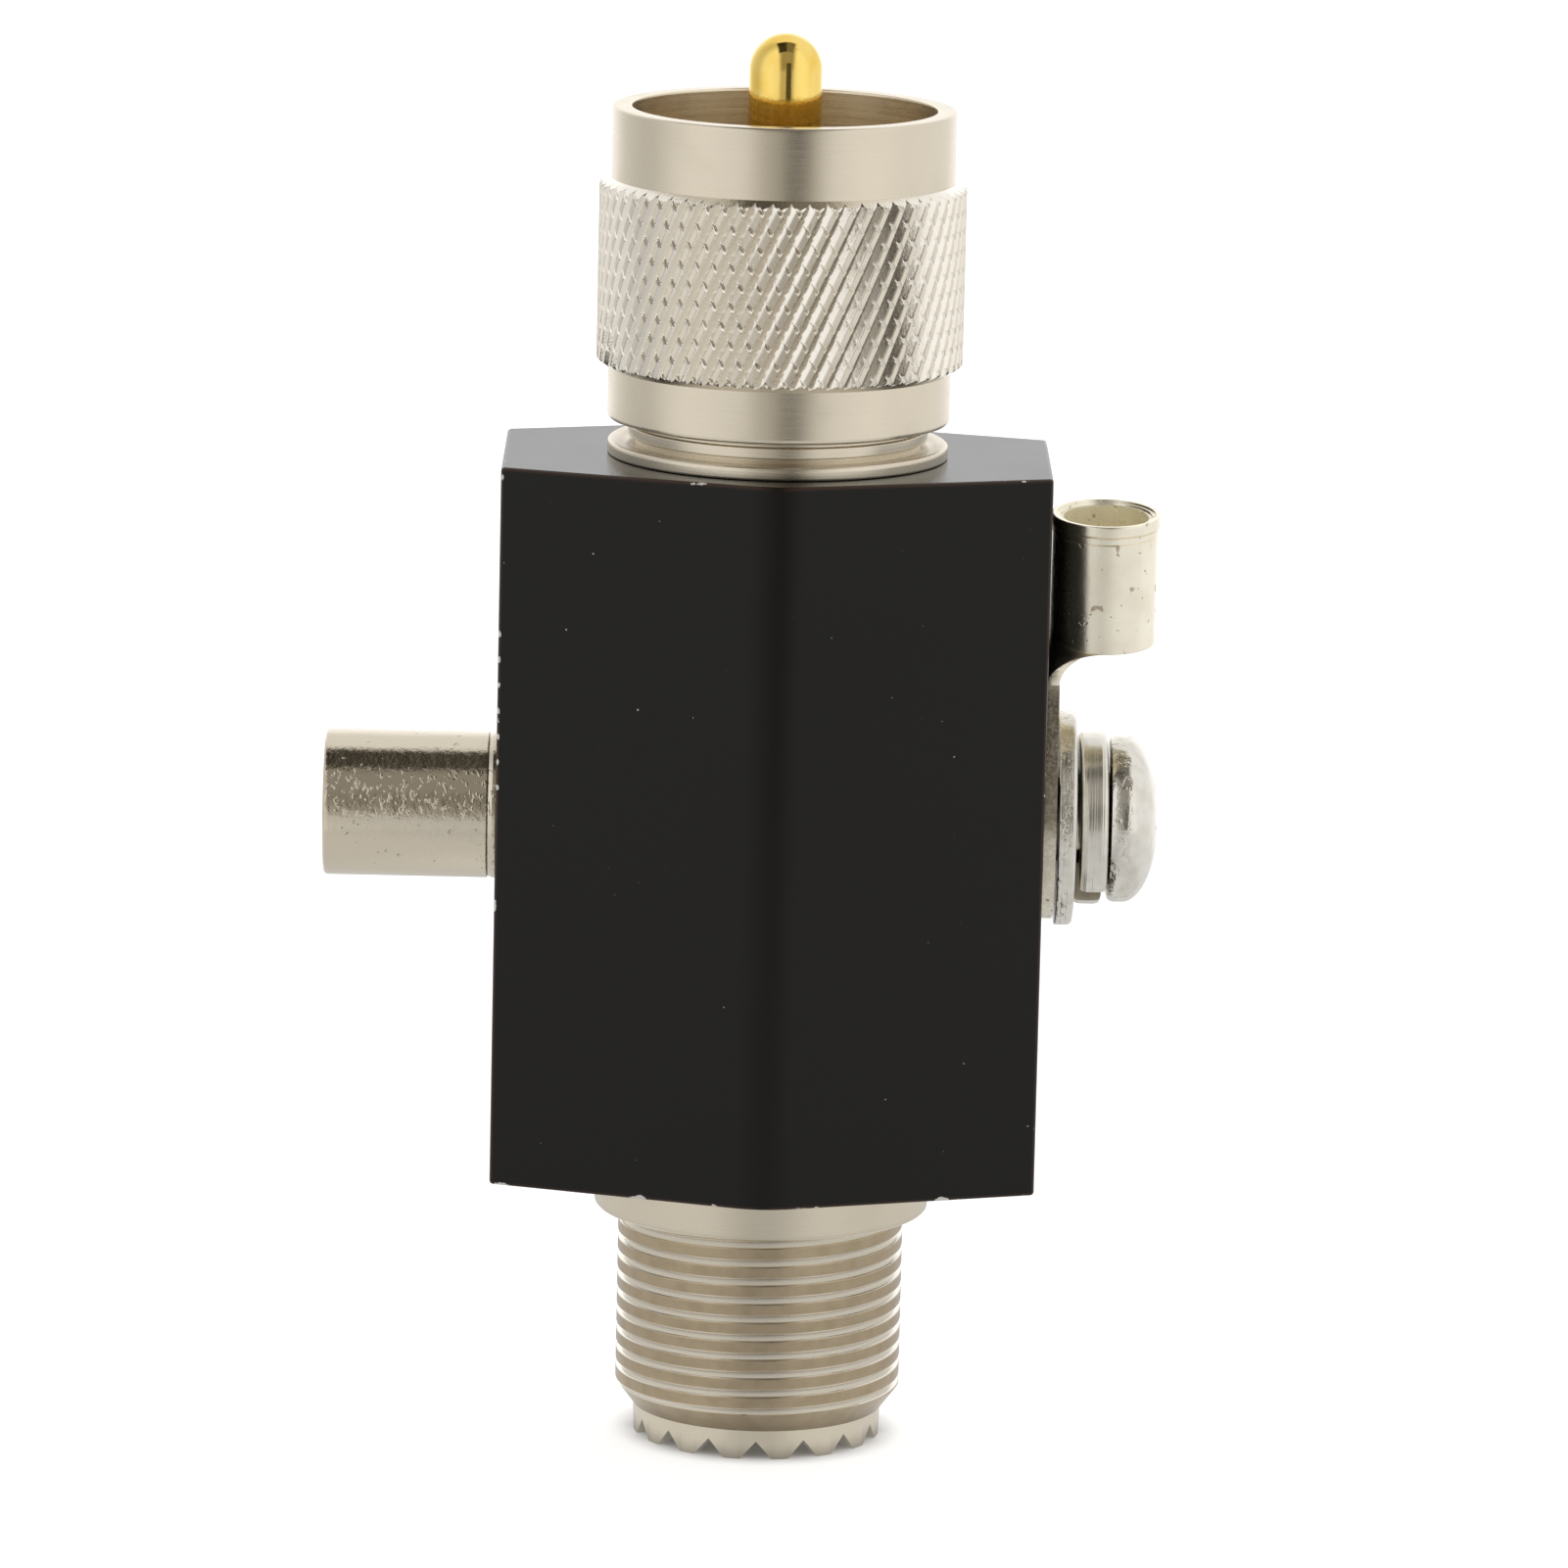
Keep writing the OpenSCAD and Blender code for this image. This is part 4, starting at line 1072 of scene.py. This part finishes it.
def make_washers():
    bm = bmesh.new()
    radius = WASHER_HIGH.z - CROSS_Z
    turned(bm, rounded([
        (WASHER_HOLE, WASHER_LOW.x, 0.1), (radius, WASHER_LOW.x, 0.12), (radius, WASHER_HIGH.x, 0.35),
        (WASHER_HOLE, WASHER_HIGH.x, 0.1),
    ]))
    piece(bm, "washer_flat", "screw_washers", WASHER_ZINC, ["flat_washer"], TO_GROUND)

    bm = bmesh.new()
    radius = (SPRING_HIGH.z - SPRING_LOW.z) / 2
    rise = 0.3
    thick = SPRING_HIGH.x - SPRING_LOW.x - rise
    outline = rounded([
        (WASHER_HOLE, 0, 0.12), (radius, 0, 0.4), (radius, thick, 0.4), (WASHER_HOLE, thick, 0.12),
    ], 4)
    section = bm.faces.new(loop_of(bm, [(r, 0, SPRING_LOW.x + z) for r, z in outline])[0])
    steps = 96
    bmesh.ops.spin(
        bm, geom=[section], cent=(0, 0, 0), axis=(0, 0, 1), dvec=(0, 0, rise / steps),
        angle=math.radians(360 - SPLIT_ANGLE), steps=steps, use_merge=False, use_duplicate=False,
    )
    turn = TO_GROUND @ Matrix.Rotation(math.radians(SPLIT_PLACE + SPLIT_ANGLE / 2), 4, "Z")
    piece(bm, "washer_spring", "screw_washers", WASHER_ZINC, ["spring_washer"], turn)


def make_screw():
    head = SPRING_HIGH.x + 0.02
    top = SCREW_HIGH.x
    tip = SCREW_LOW.x
    radius = (SCREW_HIGH.z - SCREW_LOW.z) / 2
    dome = top - head - HEAD_RIM
    bends = [math.radians(90 * i / 16) for i in range(17)]
    crown = [(radius * math.cos(a), head + HEAD_RIM + dome * math.sin(a)) for a in bends]
    bm = bmesh.new()
    turned(bm, [
        (0, tip), (SCREW_CORE - 0.2, tip), (SCREW_CORE, tip + 0.2), (SCREW_CORE, head),
        (radius - 0.32, head), (radius - 0.1, head + 0.1), (radius, head + 0.34),
    ] + crown, 128)
    screw = piece(bm, "pan_screw", "ground_screw", SCREW_ZINC, ["ground_screw"], TO_GROUND)
    cut_cross(screw, top)

    bm = bmesh.new()
    outline = thread_outline(SCREW_CORE + 0.4, SCREW_CORE - 0.1, SCREW_PITCH, 0.2, 0.05)

    def point(z):
        return SCREW_CORE + z - tip

    threaded(bm, outline, SCREW_PITCH, SCREW_CORE - 0.6, tip + 0.05, head + 0.02, point, 64)
    piece(bm, "pan_screw_thread", "ground_screw", SCREW_ZINC, (), TO_GROUND)


def cut_cross(screw, top):
    """A tapered cross recess in the middle of the screw's head."""
    length = 5.0
    width = 1.1
    depth = 2.0
    # Shares of the length and the width that are left at the bottom
    length_share = 0.44
    width_share = 0.8
    bm = bmesh.new()
    for angle in (0, 90):
        made = bmesh.ops.create_cube(bm, size=1)["verts"]
        bmesh.ops.scale(bm, vec=(length, width, depth + 1), verts=made)
        for v in made:
            if v.co.z < 0:
                v.co.x *= length_share
                v.co.y *= width_share
        bmesh.ops.translate(bm, vec=(0, 0, top - depth + (depth + 1) / 2), verts=made)
        bmesh.ops.rotate(bm, matrix=Matrix.Rotation(math.radians(angle), 3, "Z"), verts=made)
    bmesh.ops.transform(bm, matrix=TO_GROUND, verts=bm.verts)
    carve(screw, solid_tool("cross", bm))


make_tongue()
make_flare()
make_barrel()
make_washers()
make_screw()

# Finishes of the nodes that keep their own shape

KEPT_NODES = {
    "nut_retaining_ring": WIRE,
    "plug_insulator": INSULATOR,
    "line_conductor": LINE_NICKEL,
    "socket_insulator": INSULATOR,
    "socket_contact": GOLD,
    "gas_tube_ceramic": CERAMIC,
    "inner_electrode": TUBE_NICKEL,
    "outer_electrode": TUBE_NICKEL,
    "contact_spring": WIRE,
}
for node, finish in KEPT_NODES.items():
    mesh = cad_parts[node].data
    mesh.materials.clear()
    mesh.materials.append(finish)

# Floor, world and camera

FLOOR_SIZE = 8


def make_floor():
    """White to the camera, with the object's shadow and a painted shadow under it. Metal mirrors only a part
    of it near the object, a painted reflection.
    """
    bm = bmesh.new()
    bmesh.ops.create_grid(bm, x_segments=1, y_segments=1, size=FLOOR_SIZE / 2)
    mesh = bpy.data.meshes.new("floor")
    bm.to_mesh(mesh)
    bm.free()
    material, t = new_finish("floor")
    lit = t.node("ShaderNodeBsdfDiffuse", inputs={"Color": rgb(0.85, 0.85, 0.85)})
    x, y = t.parts(t.place())[:2]
    away = (x * x + y * y) ** 0.5
    # What metal mirrors of the floor is a painted reflection: brighter to the sides, near and far, and dim
    # right under the object.
    aside = (abs(x) / away.most(1)).rise(0.1, 0.6, 0.55, 0.72)
    bright = aside * away.rise(12, 26, 1.15, 1) * away.rise(58, 72, 1, 1.16) * away.rise(6, 8.5, 0.3, 1)
    # The glow that whitens the floor fades under the object: a painted shadow.
    pale = t.tint(away.rise(6, 8.5, 0.12, 1), rgb(0, 0, 0), rgb(0.6, 0.6, 0.6))
    glow_with_painted_shadow = t.node("ShaderNodeEmission", inputs={"Color": pale, "Strength": 1.0})
    mirrored_tone = t.tint(bright, rgb(0, 0, 0), rgb(1, 1, 1))
    sheen = t.node("ShaderNodeEmission", inputs={"Color": mirrored_tone, "Strength": 1.0})
    forward = 0 - y
    wide = abs(x).rise(6, 14) * abs(x).rise(220, 260, 1, 0)
    card = wide * forward.rise(0, 20) * forward.rise(255, 280, 1, 0)
    near = away.rise(110, 170, 1, 0).most(card)
    seen = t.node("ShaderNodeLightPath", output="Is Camera Ray")
    mirrored = t.node("ShaderNodeLightPath", output="Is Glossy Ray")
    both = t.node("ShaderNodeAddShader", inputs={0: lit, 1: glow_with_painted_shadow})
    shown = t.node("ShaderNodeMixShader", inputs={0: seen, 1: lit, 2: both})
    clear = t.node("ShaderNodeBsdfTransparent")
    reflected = t.node("ShaderNodeMixShader", inputs={0: near, 1: clear, 2: sheen})
    t.end(t.node("ShaderNodeMixShader", inputs={0: mirrored, 1: shown, 2: reflected}))
    mesh.materials.append(material)
    floor = bpy.data.objects.new("floor", mesh)
    bpy.context.scene.collection.objects.link(floor)


def make_world():
    """White all round, dimmer towards the front and overhead, as in a light tent with an open front."""
    world = bpy.data.worlds.new("studio")
    bpy.context.scene.world = world
    t = Tree(world)
    way = t.node("ShaderNodeTexCoord", output="Generated")
    x, y, z = t.parts(way)
    flat = ((x * x + y * y) ** 0.5).most(1e-4)
    front = (0 - y) / flat
    right = x / flat
    opening = y.rise(-0.12, 0.06, 1, 0) * z.rise(-0.5, -0.34)
    core = abs(x - 0.15).rise(0.08, 0.26, 1, 0) * z.rise(0.42, 0.56, 1, 0) * 0.91
    sides = abs(x - 0.05).rise(0.24, 0.5, 1, 0) * (0.45 + z.rise(-0.1, 0.2) * 0.2)
    overhead = abs(x).rise(0.3, 0.42, 1, 0) * y.rise(-0.52, -0.4) * y.rise(0.16, 0.3, 1, 0) * z.rise(0.4, 0.6)
    dark = (core.most(sides) * opening).most(overhead * x.rise(-0.04, 0.06, 0.95, 0.8))
    lamps = front.rise(0.1, 0.46) * front.rise(0.6, 0.9, 1, 0)
    left = right.rise(-1, -0.5, 1, 0)
    back_left = left * y.rise(-0.25, 0.15)
    floor_dim = z.rise(-0.5, -0.3, 1, 0)
    level = 0.95 + lamps * 0.1 - left * 0.06 - back_left * 0.24 - floor_dim * 0.28 + y.rise(0.75, 0.95) * 0.3
    level = level * (1 - dark)
    seen = t.node("ShaderNodeLightPath", output="Is Camera Ray")
    strength = seen + (1 - seen) * level
    tone = t.tint(dark * (1 - seen), rgb(1, 1, 1), rgb(1, 0.91, 0.76))
    sky = t.node("ShaderNodeBackground", inputs={"Color": tone, "Strength": strength})
    t.end(sky, "ShaderNodeOutputWorld")


# Camera, fitted to the photograph: pixels, millimetres and degrees
PHOTO_SIZE = 1601
FOCAL_PIXELS = 9584.2
SENSOR = 36
DISTANCE = 519.3
TARGET = Vector((0.772, 0, 36.799))
ELEVATION = math.radians(11.336)
AZIMUTH = math.radians(-0.348)
ROLL = math.radians(1.3)


def make_camera():
    back = Vector((
        math.sin(AZIMUTH) * math.cos(ELEVATION),
        -math.cos(AZIMUTH) * math.cos(ELEVATION),
        math.sin(ELEVATION),
    ))
    right = (-back).cross(Vector((0, 0, 1))).normalized()
    up = right.cross(-back)
    level = Matrix((right, up, back)).transposed().to_4x4()
    data = bpy.data.cameras.new("camera")
    data.sensor_width = SENSOR
    data.lens = FOCAL_PIXELS / PHOTO_SIZE * SENSOR
    data.clip_start = 0.01
    camera = bpy.data.objects.new("camera", data)
    bpy.context.scene.collection.objects.link(camera)
    camera.matrix_world = (
        Matrix.Translation((TARGET + back * DISTANCE) * MM) @ level @ Matrix.Rotation(ROLL, 4, "Z")
    )
    bpy.context.scene.camera = camera


make_floor()
make_world()
make_camera()
bpy.context.scene.view_settings.view_transform = "Standard"
